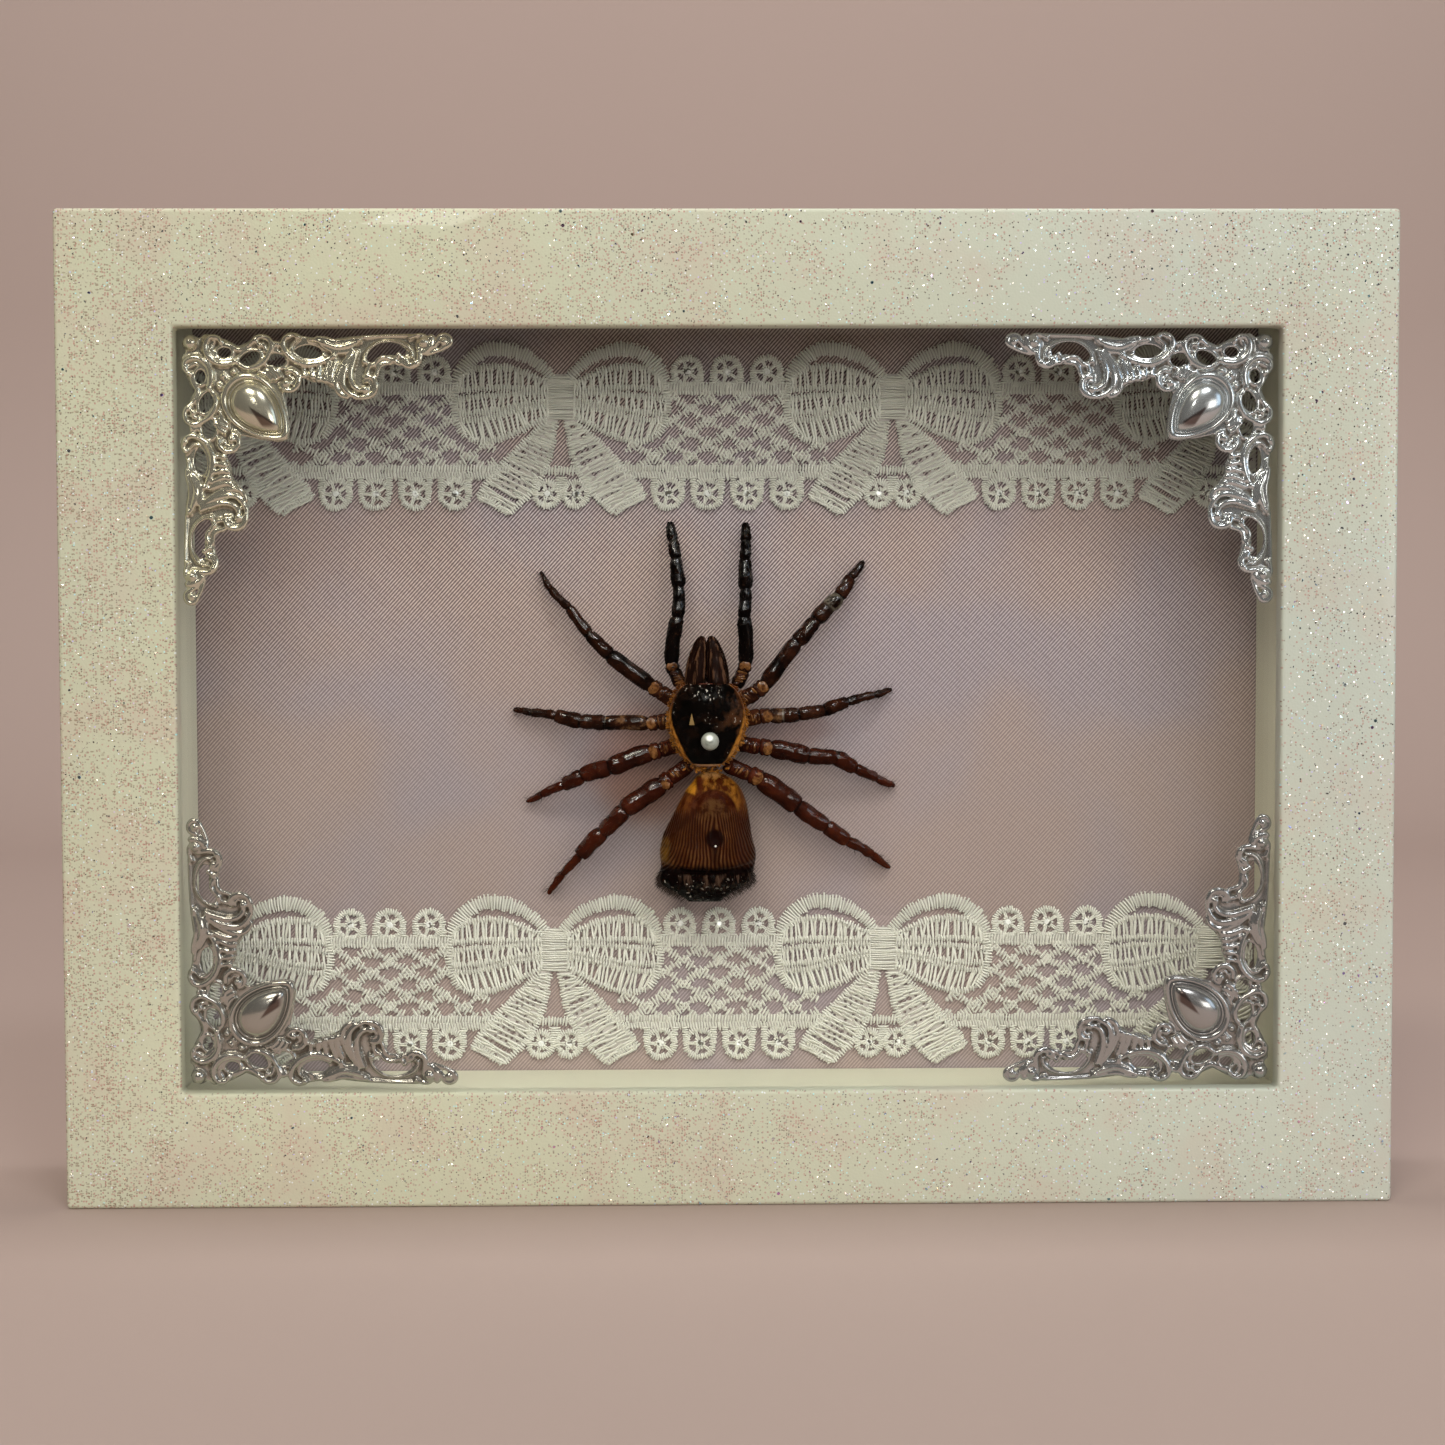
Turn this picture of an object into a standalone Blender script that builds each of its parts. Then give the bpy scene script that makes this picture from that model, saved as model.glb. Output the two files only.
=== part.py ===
# Framed trapdoor spider: a glazed shadow box with a pinned spider on satin,
# two strips of bow lace and four cast metal corners on the glass.
# Metres, +Z up. The box stands on its bottom rail, faces -Y, and X runs to the right.
from math import cos, hypot, pi, radians, sin

import bmesh
import bpy
from mathutils import Matrix, Vector

for old in list(bpy.data.objects):
    bpy.data.objects.remove(old, do_unlink=True)

MM = 0.001

# Box
FRAME_WIDTH = 207.0 * MM
FRAME_HEIGHT = 154.5 * MM
FRAME_DEPTH = 30.0 * MM
BORDER = 18.0 * MM            # width of the face of each rail
LIP = 4.0 * MM                # thickness of the lip in front of the glass
WALL = 12.0 * MM              # thickness of the rails behind the lip
FACE_ROUND = 1.0 * MM
MITRE_GAP = 0.2 * MM          # how far each rail end stays back from its mitre
GAP = 0.3 * MM                # between neighbours that touch
GLASS = 2.0 * MM
SATIN_FRONT = 24.0 * MM       # depths are measured from the face of the box
SATIN = 0.4 * MM
BOARD = 2.0 * MM
PANEL = 1.6 * MM
SIDE_SPACER = 3.9 * MM
TOP_SPACER = 2.65 * MM
BOTTOM_SPACER = 4.65 * MM
TAB_WIDTH, TAB_REACH, TAB_THICK = 8.0 * MM, 9.0 * MM, 0.5 * MM

# Lace, in millimetres from the middle of a bow and from the tips of its tails
LACE_THICK = 0.9 * MM
BOW_PITCH = 54.4
TOP_LACE_FOOT, TOP_LACE_SHIFT = 31.1, 27.15      # height over the centre, middle of one bow
BOTTOM_LACE_FOOT, BOTTOM_LACE_SHIFT = -59.7, 25.6
RING_PITCH = 6.5
TOP_RING_HEIGHT, LOW_RING_HEIGHT = 23.7, 3.8
RING_RADIUS = 2.7

# Corner ornaments, in millimetres along and across the edge of the opening
CASTING = 1.4 * MM
DROP_CENTRE, DROP_LENGTH = 12.46, 12.75
DROP_BLUNT, DROP_SPREAD = 1.7, 3.42             # half width beside the tip, and its growth from there
DROP_HEIGHT = 1.5 * MM

# Spider, in millimetres from the centre of the box
BODY_X = -3.5
BODY_DEPTH = 15.0
JAW_DEPTH, ABDOMEN_DEPTH, STERNUM_DEPTH = 16.0, 17.2, 19.2
CARAPACE_THICK = 0.37         # share of the width that the shield keeps in depth
ABDOMEN_THICK = 0.76
PRESSED = 0.55                # how far a jaw keeps the half that faces its twin
PIN_X, PIN_Z = -3.1, -5.2
PIN_RADIUS, PIN_BORE = 0.35 * MM, 0.7 * MM
PEARL_RADIUS, PEARL_DEPTH = 1.45 * MM, 11.3 * MM

FRONT = -FRAME_DEPTH / 2
CENTRE_Z = FRAME_HEIGHT / 2
RABBET_X = FRAME_WIDTH / 2 - WALL - GAP
RABBET_Z = FRAME_HEIGHT / 2 - WALL - GAP

parts = bpy.data.collections.new("framed_trapdoor_spider")
cutters = bpy.data.collections.new("cutters")
for group in (parts, cutters):
    bpy.context.scene.collection.children.link(group)


def material(name, colour, roughness, metallic=0.0, transmission=0.0):
    made = bpy.data.materials.new(name)
    made.use_nodes = True
    shader = made.node_tree.nodes["Principled BSDF"]
    shader.inputs["Base Color"].default_value = (*colour, 1.0)
    shader.inputs["Roughness"].default_value = roughness
    shader.inputs["Metallic"].default_value = metallic
    shader.inputs["Transmission Weight"].default_value = transmission
    return made


CREAM = material("cream_paint", (0.72, 0.70, 0.58), 0.45)
CLEAR = material("clear_glass", (0.95, 0.97, 0.96), 0.02, transmission=1.0)
CARD = material("grey_card", (0.55, 0.52, 0.47), 0.9)
HARDBOARD = material("brown_hardboard", (0.25, 0.15, 0.08), 0.8)
MAUVE = material("mauve_satin", (0.42, 0.31, 0.33), 0.4)
THREAD = material("white_thread", (0.72, 0.71, 0.64), 0.85)
CHROME = material("bright_casting", (0.80, 0.78, 0.70), 0.12, 1.0)
STEEL = material("steel", (0.60, 0.60, 0.60), 0.3, 1.0)
SHIELD = material("dark_shield", (0.030, 0.016, 0.010), 0.15)
BROWN = material("brown_abdomen", (0.120, 0.055, 0.020), 0.4)
BLACK_LEG = material("black_leg", (0.030, 0.015, 0.009), 0.3)
RED_LEG = material("red_leg", (0.110, 0.030, 0.014), 0.3)
AMBER = material("amber_underside", (0.30, 0.12, 0.03), 0.4)
PEARL = material("pearl", (0.75, 0.76, 0.76), 0.2)


def add_object(name, mesh, finish=None, smooth_angle=35, group=parts):
    made = bpy.data.objects.new(name, mesh)
    group.objects.link(made)
    if finish:
        mesh.materials.append(finish)
    if smooth_angle:
        mesh.shade_smooth()
        mesh.set_sharp_from_angle(angle=radians(smooth_angle))
    return made


def mesh_from(bm, name):
    bmesh.ops.recalc_face_normals(bm, faces=bm.faces)
    mesh = bpy.data.meshes.new(name)
    bm.to_mesh(mesh)
    bm.free()
    return mesh


def place(x, z, depth):
    # A point given in millimetres from the centre of the box, and its depth from the face
    return Vector((x * MM, FRONT + depth, CENTRE_Z + z * MM))


def block(name, low, high, finish):
    bm = bmesh.new()
    size = Vector(high) - Vector(low)
    middle = (Vector(high) + Vector(low)) / 2
    bmesh.ops.create_cube(bm, size=1.0, matrix=Matrix.Translation(middle) @ Matrix.Diagonal((*size, 1)))
    return add_object(name, mesh_from(bm, name), finish, smooth_angle=0)


def sheet_block(name, half_x, half_z, depth, thick, finish):
    return block(name, (-half_x, FRONT + depth, CENTRE_Z - half_z),
                 (half_x, FRONT + depth + thick, CENTRE_Z + half_z), finish)


# Frame rails

def rail_section():
    # Inward reach and depth of each corner of the L section, the two face edges rounded
    points = []
    for turn in (0, 30, 60, 90):
        points.append((FACE_ROUND * (1 - cos(radians(turn))), FACE_ROUND * (1 - sin(radians(turn)))))
    for turn in (90, 60, 30, 0):
        points.append((BORDER - FACE_ROUND * (1 - cos(radians(turn))),
                       FACE_ROUND * (1 - sin(radians(turn)))))
    return points + [(BORDER, LIP), (WALL, LIP), (WALL, FRAME_DEPTH), (0, FRAME_DEPTH)]


def rail(name, half_length, half_reach, turn):
    bm = bmesh.new()
    section = [bm.verts.new((-1, FRONT + depth, reach)) for reach, depth in rail_section()]
    face = bm.faces.new(section)
    swept = bmesh.ops.extrude_face_region(bm, geom=[face])
    far_end = [item for item in swept["geom"] if isinstance(item, bmesh.types.BMVert)]
    bmesh.ops.translate(bm, verts=far_end, vec=(2, 0, 0))
    for vert in bm.verts:
        # The ends slide back to the mitre, and the outer side comes to its place
        vert.co.x *= half_length - vert.co.z - MITRE_GAP
        vert.co.z -= half_reach
    made = add_object(name, mesh_from(bm, name), CREAM)
    made.data.transform(Matrix.Translation((0, 0, CENTRE_Z)) @ Matrix.Rotation(radians(turn), 4, "Y"))


rail("rail_bottom", FRAME_WIDTH / 2, FRAME_HEIGHT / 2, 0)
rail("rail_left", FRAME_HEIGHT / 2, FRAME_WIDTH / 2, 90)
rail("rail_top", FRAME_WIDTH / 2, FRAME_HEIGHT / 2, 180)
rail("rail_right", FRAME_HEIGHT / 2, FRAME_WIDTH / 2, 270)

# Glass, spacers and backing

sheet_block("glass", RABBET_X, RABBET_Z, LIP + GAP, GLASS, CLEAR)

SPACER_FRONT = FRONT + LIP + GLASS + 2 * GAP
SPACER_BACK = FRONT + SATIN_FRONT - GAP
WELL_X = RABBET_X - SIDE_SPACER
for name, side in (("spacer_left", -1), ("spacer_right", 1)):
    ends = sorted((side * WELL_X, side * RABBET_X))
    block(name, (ends[0], SPACER_FRONT, CENTRE_Z - RABBET_Z),
          (ends[1], SPACER_BACK, CENTRE_Z + RABBET_Z), CREAM)
for name, side, thick in (("spacer_bottom", -1, BOTTOM_SPACER), ("spacer_top", 1, TOP_SPACER)):
    ends = sorted((side * (RABBET_Z - thick), side * RABBET_Z))
    block(name, (GAP - WELL_X, SPACER_FRONT, CENTRE_Z + ends[0]),
          (WELL_X - GAP, SPACER_BACK, CENTRE_Z + ends[1]), CREAM)

BOARD_DEPTH = SATIN_FRONT + SATIN + GAP
PANEL_DEPTH = BOARD_DEPTH + BOARD + GAP
satin = sheet_block("satin", RABBET_X, RABBET_Z, SATIN_FRONT, SATIN, MAUVE)
backing_board = sheet_block("backing_board", RABBET_X, RABBET_Z, BOARD_DEPTH, BOARD, CARD)
sheet_block("back_panel", RABBET_X, RABBET_Z, PANEL_DEPTH, PANEL, HARDBOARD)


def tab(number, x, z, along_x):
    depth = FRONT + PANEL_DEPTH + PANEL + GAP
    half_x, half_z = (TAB_WIDTH / 2, TAB_REACH / 2) if along_x else (TAB_REACH / 2, TAB_WIDTH / 2)
    block(f"tab_{number}", (x - half_x, depth, z - half_z), (x + half_x, depth + TAB_THICK, z + half_z),
          STEEL)


tab_x = RABBET_X - TAB_REACH / 2
tab_z = RABBET_Z - TAB_REACH / 2
tab(1, -RABBET_X / 2, CENTRE_Z + tab_z, True)
tab(2, RABBET_X / 2, CENTRE_Z + tab_z, True)
tab(3, tab_x, CENTRE_Z, False)
tab(4, RABBET_X / 2, CENTRE_Z - tab_z, True)
tab(5, -RABBET_X / 2, CENTRE_Z - tab_z, True)
tab(6, -tab_x, CENTRE_Z, False)


# Flat pieces with holes: lace and corner castings

def flat_piece(outline, holes, thick, to_world):
    # A flat outline in millimetres, given a thickness, with its two faces welded to its sides
    curve = bpy.data.curves.new("outline", "CURVE")
    curve.dimensions = "2D"
    curve.fill_mode = "BOTH"
    curve.extrude = thick / 2
    for loop in [outline, *holes]:
        spline = curve.splines.new("POLY")
        spline.points.add(len(loop) - 1)
        for point, (x, y) in zip(spline.points, loop):
            point.co = (x * MM, y * MM, 0, 1)
        spline.use_cyclic_u = True
    guide = bpy.data.objects.new("guide", curve)
    bpy.context.scene.collection.objects.link(guide)
    bpy.context.view_layer.update()
    solid = bpy.data.meshes.new_from_object(guide.evaluated_get(bpy.context.evaluated_depsgraph_get()))
    bpy.data.objects.remove(guide, do_unlink=True)
    bm = bmesh.new()
    bm.from_mesh(solid)
    bmesh.ops.remove_doubles(bm, verts=bm.verts, dist=0.01 * MM)
    bmesh.ops.transform(bm, matrix=to_world, verts=bm.verts)
    bpy.data.meshes.remove(solid)
    return bm


def arc(centre_x, centre_y, radius, start, stop, count):
    turns = [radians(start + (stop - start) * step / (count - 1)) for step in range(count)]
    return [(centre_x + radius * cos(turn), centre_y + radius * sin(turn)) for turn in turns]


def oval(centre_x, centre_y, half_x, half_y, tilt=0, count=8):
    points = []
    for step in range(count):
        turn = 2 * pi * (step + 0.5) / count
        x, y = half_x * cos(turn), half_y * sin(turn)
        lean = radians(tilt)
        points.append((centre_x + x * cos(lean) - y * sin(lean), centre_y + x * sin(lean) + y * cos(lean)))
    return points


def mirrored(points):
    return [(-x, y) for x, y in reversed(points)]


# The right half of a bow: its loop above, its tail below, and the slits beside its knot
BOW_LOOP = [(0, 22.5), (1.7, 23.1), (4.2, 25.2), (6.6, 26.9), (9.0, 28.1), (10.8, 28.6), (12.7, 28.0),
            (14.7, 26.2), (16.6, 24.8)]
BOW_TAIL = [(4.9, 3.6), (6.4, 2.6), (8.7, 0.0), (10.2, 1.2), (12.1, 2.9), (14.2, 2.7)]
LOOP_SLIT = [(2.5, 22.1), (4.8, 23.5), (8.0, 24.9), (10.7, 25.2), (12.9, 23.9), (7.8, 23.4), (4.0, 22.0)]
TAIL_SLIT = [(2.9, 15.9), (6.4, 14.1), (9.2, 12.3), (8.6, 11.2), (5.8, 12.8)]
TAIL_GAP = [(-0.6, 14.4), (0.7, 14.4), (2.0, 8.4), (-2.0, 8.4)]


def lace_outline(first_bow, bow_count):
    # From the left bow to the right one along the top, and back along the bottom
    top, bottom = [], []
    for bow in range(bow_count):
        middle = first_bow + bow * BOW_PITCH
        top += [(middle + x, y) for x, y in mirrored(BOW_LOOP)[:-1] + BOW_LOOP]
        for ring in (-1, 0, 1):
            top += arc(middle + BOW_PITCH / 2 + ring * RING_PITCH, TOP_RING_HEIGHT, RING_RADIUS, 155, 25, 4)
        bottom += [(middle + x, y) for x, y in mirrored(BOW_TAIL)]
        bottom += arc(middle - 2.3, LOW_RING_HEIGHT, 2.4, 230, 320, 4)
        bottom += arc(middle + 2.3, LOW_RING_HEIGHT, 2.4, 220, 310, 4)
        bottom += [(middle + x, y) for x, y in BOW_TAIL]
        for ring in (-1.5, -0.5, 0.5, 1.5):
            bottom += arc(middle + BOW_PITCH / 2 + ring * RING_PITCH, LOW_RING_HEIGHT, RING_RADIUS, 205, 335, 4)
    return top + bottom[::-1]


def lace(name, shift, foot):
    bows = 5
    first = shift - 3 * BOW_PITCH
    outline = lace_outline(first, bows)
    holes = []
    for bow in range(bows):
        middle = first + bow * BOW_PITCH
        for shape in (LOOP_SLIT, TAIL_SLIT):
            holes.append([(middle + x, y) for x, y in shape])
            holes.append([(middle + x, y) for x, y in mirrored(shape)])
        holes.append([(middle + x, y) for x, y in TAIL_GAP])
    stand = Matrix.Translation(place(0, foot, SATIN_FRONT - GAP - LACE_THICK / 2))
    bm = flat_piece(outline, holes, LACE_THICK, stand @ Matrix.Rotation(radians(90), 4, "X"))
    for side in (-1, 1):
        bmesh.ops.bisect_plane(bm, geom=bm.verts[:] + bm.edges[:] + bm.faces[:], dist=0.001 * MM,
                               plane_co=(side * (WELL_X - GAP), 0, 0), plane_no=(side, 0, 0),
                               clear_outer=True)
        bmesh.ops.holes_fill(bm, edges=[edge for edge in bm.edges if edge.is_boundary])
    add_object(name, mesh_from(bm, name), THREAD, smooth_angle=0)


lace("lace_top", TOP_LACE_SHIFT, TOP_LACE_FOOT)
lace("lace_bottom", BOTTOM_LACE_SHIFT, BOTTOM_LACE_FOOT)

# Corner castings: one arm from the corner bead to its tip and back to the teardrop

ARM = [(1.1, 1.1), (2.4, 0.8), (3.5, 1.4), (4.3, 0.7), (5.3, 1.3), (7.4, 2.0), (9.3, 2.7), (10.7, 2.4),
       (11.9, 1.4), (13.0, 0.9), (14.3, 1.4), (15.2, 2.8), (16.2, 1.9), (17.2, 1.0), (18.6, 0.7),
       (20.2, 1.1), (21.3, 1.3), (22.5, 1.4), (25.0, 1.3), (28.4, 1.0), (32.5, 0.8), (37.3, 0.7),
       (38.2, 0.5), (39.4, 1.0), (42.3, 0.7), (43.2, 1.6), (42.4, 2.6), (40.6, 3.0), (38.6, 4.2),
       (37.7, 5.5), (35.6, 5.7), (32.8, 5.0), (31.3, 6.0), (31.1, 9.3), (29.9, 10.4), (27.6, 10.9),
       (25.0, 10.3), (24.0, 8.6), (21.5, 7.9), (19.2, 7.8), (18.7, 9.0), (17.4, 9.6), (16.3, 9.3),
       (17.0, 12.5), (17.4, 15.6), (17.1, 17.1)]
CRESCENT = [(29.5, 4.6), (30.3, 2.8), (32.4, 1.9), (34.6, 2.3), (35.8, 3.6), (34.4, 4.0), (33.1, 3.7),
            (31.3, 4.6)]
RINGS = (oval(7.4, 3.6, 1.0, 0.8, count=6), oval(11.5, 4.5, 1.5, 1.0, -20, 6),
         oval(15.5, 5.0, 1.2, 0.9, count=6), oval(20.4, 3.6, 2.1, 1.2), CRESCENT)


def swapped(points):
    return [(across, along) for along, across in reversed(points)]


def teardrop():
    # A domed drop on the diagonal, its round end to the corner and its tip to the window
    bm = bmesh.new()
    bmesh.ops.create_circle(bm, cap_ends=True, segments=12, radius=1.0)
    for vert in bm.verts:
        turn = hypot(vert.co.x - 1, vert.co.y) / 2        # sine of half the turn from the tip
        vert.co = Vector((vert.co.x * DROP_LENGTH / 2, vert.co.y * (DROP_BLUNT + DROP_SPREAD * turn), 0)) * MM
    cap = list(bm.faces)
    grown = bmesh.ops.extrude_face_region(bm, geom=cap)
    raised = [item for item in grown["geom"] if isinstance(item, bmesh.types.BMVert)]
    top = [item for item in grown["geom"] if isinstance(item, bmesh.types.BMFace)]
    bmesh.ops.translate(bm, verts=raised, vec=(0, 0, CASTING * 0.7))
    bmesh.ops.recalc_face_normals(bm, faces=bm.faces)
    bmesh.ops.inset_region(bm, faces=top, thickness=0.9 * MM, depth=DROP_HEIGHT * 0.6)
    bmesh.ops.inset_region(bm, faces=top, thickness=1.4 * MM, depth=DROP_HEIGHT * 0.4)
    lean = Matrix.Rotation(radians(45), 4, "Z")
    bmesh.ops.transform(bm, matrix=Matrix.Translation((DROP_CENTRE * MM, DROP_CENTRE * MM, 0)) @ lean,
                        verts=bm.verts)
    return bm


def casting(name, side, up):
    # The arms lie along the top and left edges of the opening until the corner is chosen
    corner = place(side * (FRAME_WIDTH / 2 - BORDER) / MM, up * (FRAME_HEIGHT / 2 - BORDER) / MM,
                   LIP - CASTING / 2)
    to_corner = Matrix.Translation(corner) @ Matrix(((-side, 0, 0, 0), (0, 0, -1, 0), (0, -up, 0, 0),
                                                     (0, 0, 0, 1)))
    outline = ARM + swapped(ARM)[1:-1]
    holes = [*RINGS, *(swapped(ring) for ring in RINGS)]
    plate = add_object(name, mesh_from(flat_piece(outline, holes, CASTING, to_corner), name), CHROME)
    bm = teardrop()
    bmesh.ops.transform(bm, matrix=to_corner, verts=bm.verts)
    drop = add_object(name + "_drop", mesh_from(bm, name + "_drop"), CHROME, group=cutters)
    drop.hide_render = True
    drop.display_type = "WIRE"
    join = plate.modifiers.new("teardrop", "BOOLEAN")
    join.operation = "UNION"
    join.object = drop


for name, side, up in (("top_left", -1, 1), ("top_right", 1, 1), ("bottom_left", -1, -1),
                       ("bottom_right", 1, -1)):
    casting("corner_" + name, side, up)


# Spider

def turned(name, profile, x, depth, flat, finish, steps=16, lean=0.0, foot=0.0, inner=0):
    # A profile of radius and height, spun about an upright axis and flattened front to back.
    # inner is -1 or 1 where the side that faces that way is pressed flatter.
    bm = bmesh.new()
    chain = [bm.verts.new((radius * MM, 0, height * MM)) for radius, height in profile]
    edges = [bm.edges.new(pair) for pair in zip(chain, chain[1:])]
    bmesh.ops.spin(bm, geom=chain + edges, axis=(0, 0, 1), cent=(0, 0, 0), angle=2 * pi, steps=steps,
                   use_merge=True)
    bmesh.ops.remove_doubles(bm, verts=bm.verts, dist=0.01 * MM)
    for vert in bm.verts:
        if vert.co.x * inner > 0:
            vert.co.x *= PRESSED
    to_world = (Matrix.Translation(place(x, foot, depth * MM)) @ Matrix.Rotation(radians(lean), 4, "Y")
                @ Matrix.Diagonal((1, flat, 1, 1)) @ Matrix.Translation((0, 0, -foot * MM)))
    bmesh.ops.transform(bm, matrix=to_world, verts=bm.verts)
    return add_object(name, mesh_from(bm, name), finish, smooth_angle=60)


carapace = turned("carapace", [(0, 4.0), (3.3, 3.9), (4.6, 2.9), (5.7, 0.9), (6.2, -1.6), (5.6, -4.4),
                               (4.1, -7.2), (2.1, -9.1), (0, -9.5)],
                  BODY_X, BODY_DEPTH, CARAPACE_THICK, SHIELD)
sternum = turned("sternum", [(0, 3.4), (2.6, 2.6), (3.9, 0), (4.2, -2.5), (3.6, -5.6), (2.0, -8.0),
                             (0, -8.8)], BODY_X, STERNUM_DEPTH, 0.42, AMBER, steps=12)
turned("abdomen", [(0, -9.9), (1.3, -10.1), (1.7, -11.0), (3.8, -12.1), (5.2, -14.0), (6.2, -17.2),
                   (7.2, -21.0), (7.8, -24.0), (7.6, -25.9), (7.2, -26.3), (7.8, -26.9), (7.9, -28.3),
                   (6.6, -29.9), (4.0, -31.2), (0, -31.5)],
       BODY_X + 0.3, ABDOMEN_DEPTH, ABDOMEN_THICK, BROWN, steps=20, lean=1.6, foot=-9.9)
for name, side in (("jaw_left", -1), ("jaw_right", 1)):
    turned(name, [(0, 4.3), (1.9, 4.3), (2.15, 5.7), (1.9, 7.6), (1.35, 9.6), (0.6, 11.1), (0, 11.5)],
           BODY_X - 0.1 + side * 1.45, JAW_DEPTH, 1.1, SHIELD, steps=12, lean=-side * 6.5, foot=4.3,
           inner=-side)

# Middle line of each limb from the body to its tip: across, up, depth. The steps between the
# points are coxa, trochanter, femur, patella, tibia, metatarsus and tarsus.
LIMBS = {
    "palp_left": ((-7.7, 3.6, 19.0), (-8.8, 6.0, 18.8), (-9.3, 6.9, 18.6), (-8.3, 14.6, 18.4),
                  (-8.0, 19.6, 19.0), (-8.5, 24.2, 19.9), (-9.0, 27.1, 20.7), (-9.5, 30.2, 21.8)),
    "palp_right": ((1.2, 3.5, 19.0), (2.5, 5.9, 18.7), (2.8, 6.9, 18.6), (2.5, 14.6, 18.5),
                   (2.8, 19.3, 19.0), (2.8, 24.1, 20.0), (2.9, 27.0, 20.8), (2.9, 30.0, 21.8)),
    "leg_left_1": ((-8.7, 1.1, 19.0), (-11.2, 2.6, 18.8), (-12.5, 3.4, 18.6), (-19.3, 8.5, 18.5),
                   (-22.6, 11.9, 19.0), (-25.9, 16.2, 20.3), (-29.0, 19.2, 21.7), (-30.7, 22.1, 23.1)),
    "leg_left_2": ((-8.9, -2.0, 19.0), (-11.6, -2.5, 18.7), (-13.0, -2.6, 18.5), (-20.1, -2.5, 18.5),
                   (-24.1, -2.3, 19.1), (-28.2, -1.4, 20.2), (-32.3, -0.9, 21.7), (-35.2, -0.5, 23.1)),
    "leg_left_3": ((-8.1, -6.0, 19.0), (-11.2, -6.9, 18.6), (-12.7, -7.3, 18.5), (-19.4, -9.8, 18.5),
                   (-23.9, -11.1, 19.3), (-27.0, -12.7, 20.3), (-30.6, -14.4, 21.8),
                   (-33.2, -15.6, 23.1)),
    "leg_left_4": ((-6.3, -9.2, 19.0), (-9.6, -11.6, 18.7), (-10.8, -12.4, 18.6), (-17.1, -16.6, 18.4),
                   (-20.6, -20.3, 19.0), (-24.4, -24.3, 20.2), (-27.3, -27.3, 21.5),
                   (-29.7, -30.8, 23.1)),
    "leg_right_1": ((1.6, 0.8, 19.0), (4.6, 2.4, 18.7), (5.9, 3.6, 18.5), (11.1, 10.5, 18.5),
                    (14.2, 14.1, 19.2), (18.2, 17.9, 20.5), (20.1, 21.0, 21.7), (22.3, 23.7, 23.1)),
    "leg_right_2": ((1.8, -1.9, 19.0), (5.2, -1.5, 18.6), (6.7, -1.4, 18.5), (11.4, -1.2, 18.4),
                    (15.6, -0.6, 18.9), (19.4, 0.7, 19.9), (23.9, 1.8, 21.6), (27.0, 2.7, 23.1)),
    "leg_right_3": ((1.2, -5.8, 19.0), (5.1, -6.5, 18.6), (6.8, -6.7, 18.5), (13.0, -8.0, 18.5),
                    (17.5, -8.2, 19.2), (20.7, -10.1, 20.2), (24.3, -11.8, 21.6), (27.4, -13.2, 23.1)),
    "leg_right_4": ((-0.6, -9.2, 19.0), (3.4, -10.9, 18.7), (5.1, -11.8, 18.6), (11.2, -16.2, 18.4),
                    (15.9, -19.5, 19.1), (19.4, -22.0, 20.1), (23.6, -24.5, 21.6), (26.6, -26.7, 23.1)),
}
# Radius of each step at its fullest, in millimetres: coxa to tarsus
SLIM = (1.15, 1.15, 1.3, 1.2, 1.15, 0.8, 0.55)
STOUT = (1.15, 1.3, 1.6, 1.45, 1.35, 0.85, 0.65)
PALP = (1.0, 1.1, 1.2, 1.1, 1.15, 1.0, 0.8)
JOINT_WAIST = 0.86            # how much of the slimmer neighbour's radius a joint keeps
ROOT = 0.9                    # how much of its radius a coxa keeps beside the body
FULLEST = 0.45                # where along a step it is fullest


def limb(name, joints, radii, finish):
    rows = [(Vector(joints[0]), radii[0] * ROOT)]
    for step, radius in enumerate(radii):
        start, end = Vector(joints[step]), Vector(joints[step + 1])
        following = radii[step + 1] if step + 1 < len(radii) else radius * 0.55
        rows.append((start.lerp(end, FULLEST), radius))
        rows.append((end, JOINT_WAIST * min(radius, following)))
    curve = bpy.data.curves.new(name, "CURVE")
    curve.dimensions = "3D"
    curve.bevel_depth = MM
    curve.bevel_resolution = 2
    curve.use_fill_caps = True
    spline = curve.splines.new("POLY")
    spline.points.add(len(rows) - 1)
    for point, (spot, radius) in zip(spline.points, rows):
        point.co = (*place(spot.x, spot.y, spot.z * MM), 1)
        point.radius = radius
    curve.materials.append(finish)
    made = bpy.data.objects.new(name, curve)
    parts.objects.link(made)


for name, joints in LIMBS.items():
    if name.startswith("palp"):
        limb(name, joints, PALP, BLACK_LEG)
    elif name[-1] in "12":
        limb(name, joints, SLIM, BLACK_LEG)
    else:
        limb(name, joints, STOUT, RED_LEG)

# Pin through the shield into the board

def round_bar(radius, front_depth, back_depth, sides):
    bm = bmesh.new()
    middle = place(PIN_X, PIN_Z, (front_depth + back_depth) / 2)
    bmesh.ops.create_cone(bm, cap_ends=True, segments=sides, radius1=radius, radius2=radius,
                          depth=back_depth - front_depth,
                          matrix=Matrix.Translation(middle) @ Matrix.Rotation(radians(90), 4, "X"))
    return bm


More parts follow.
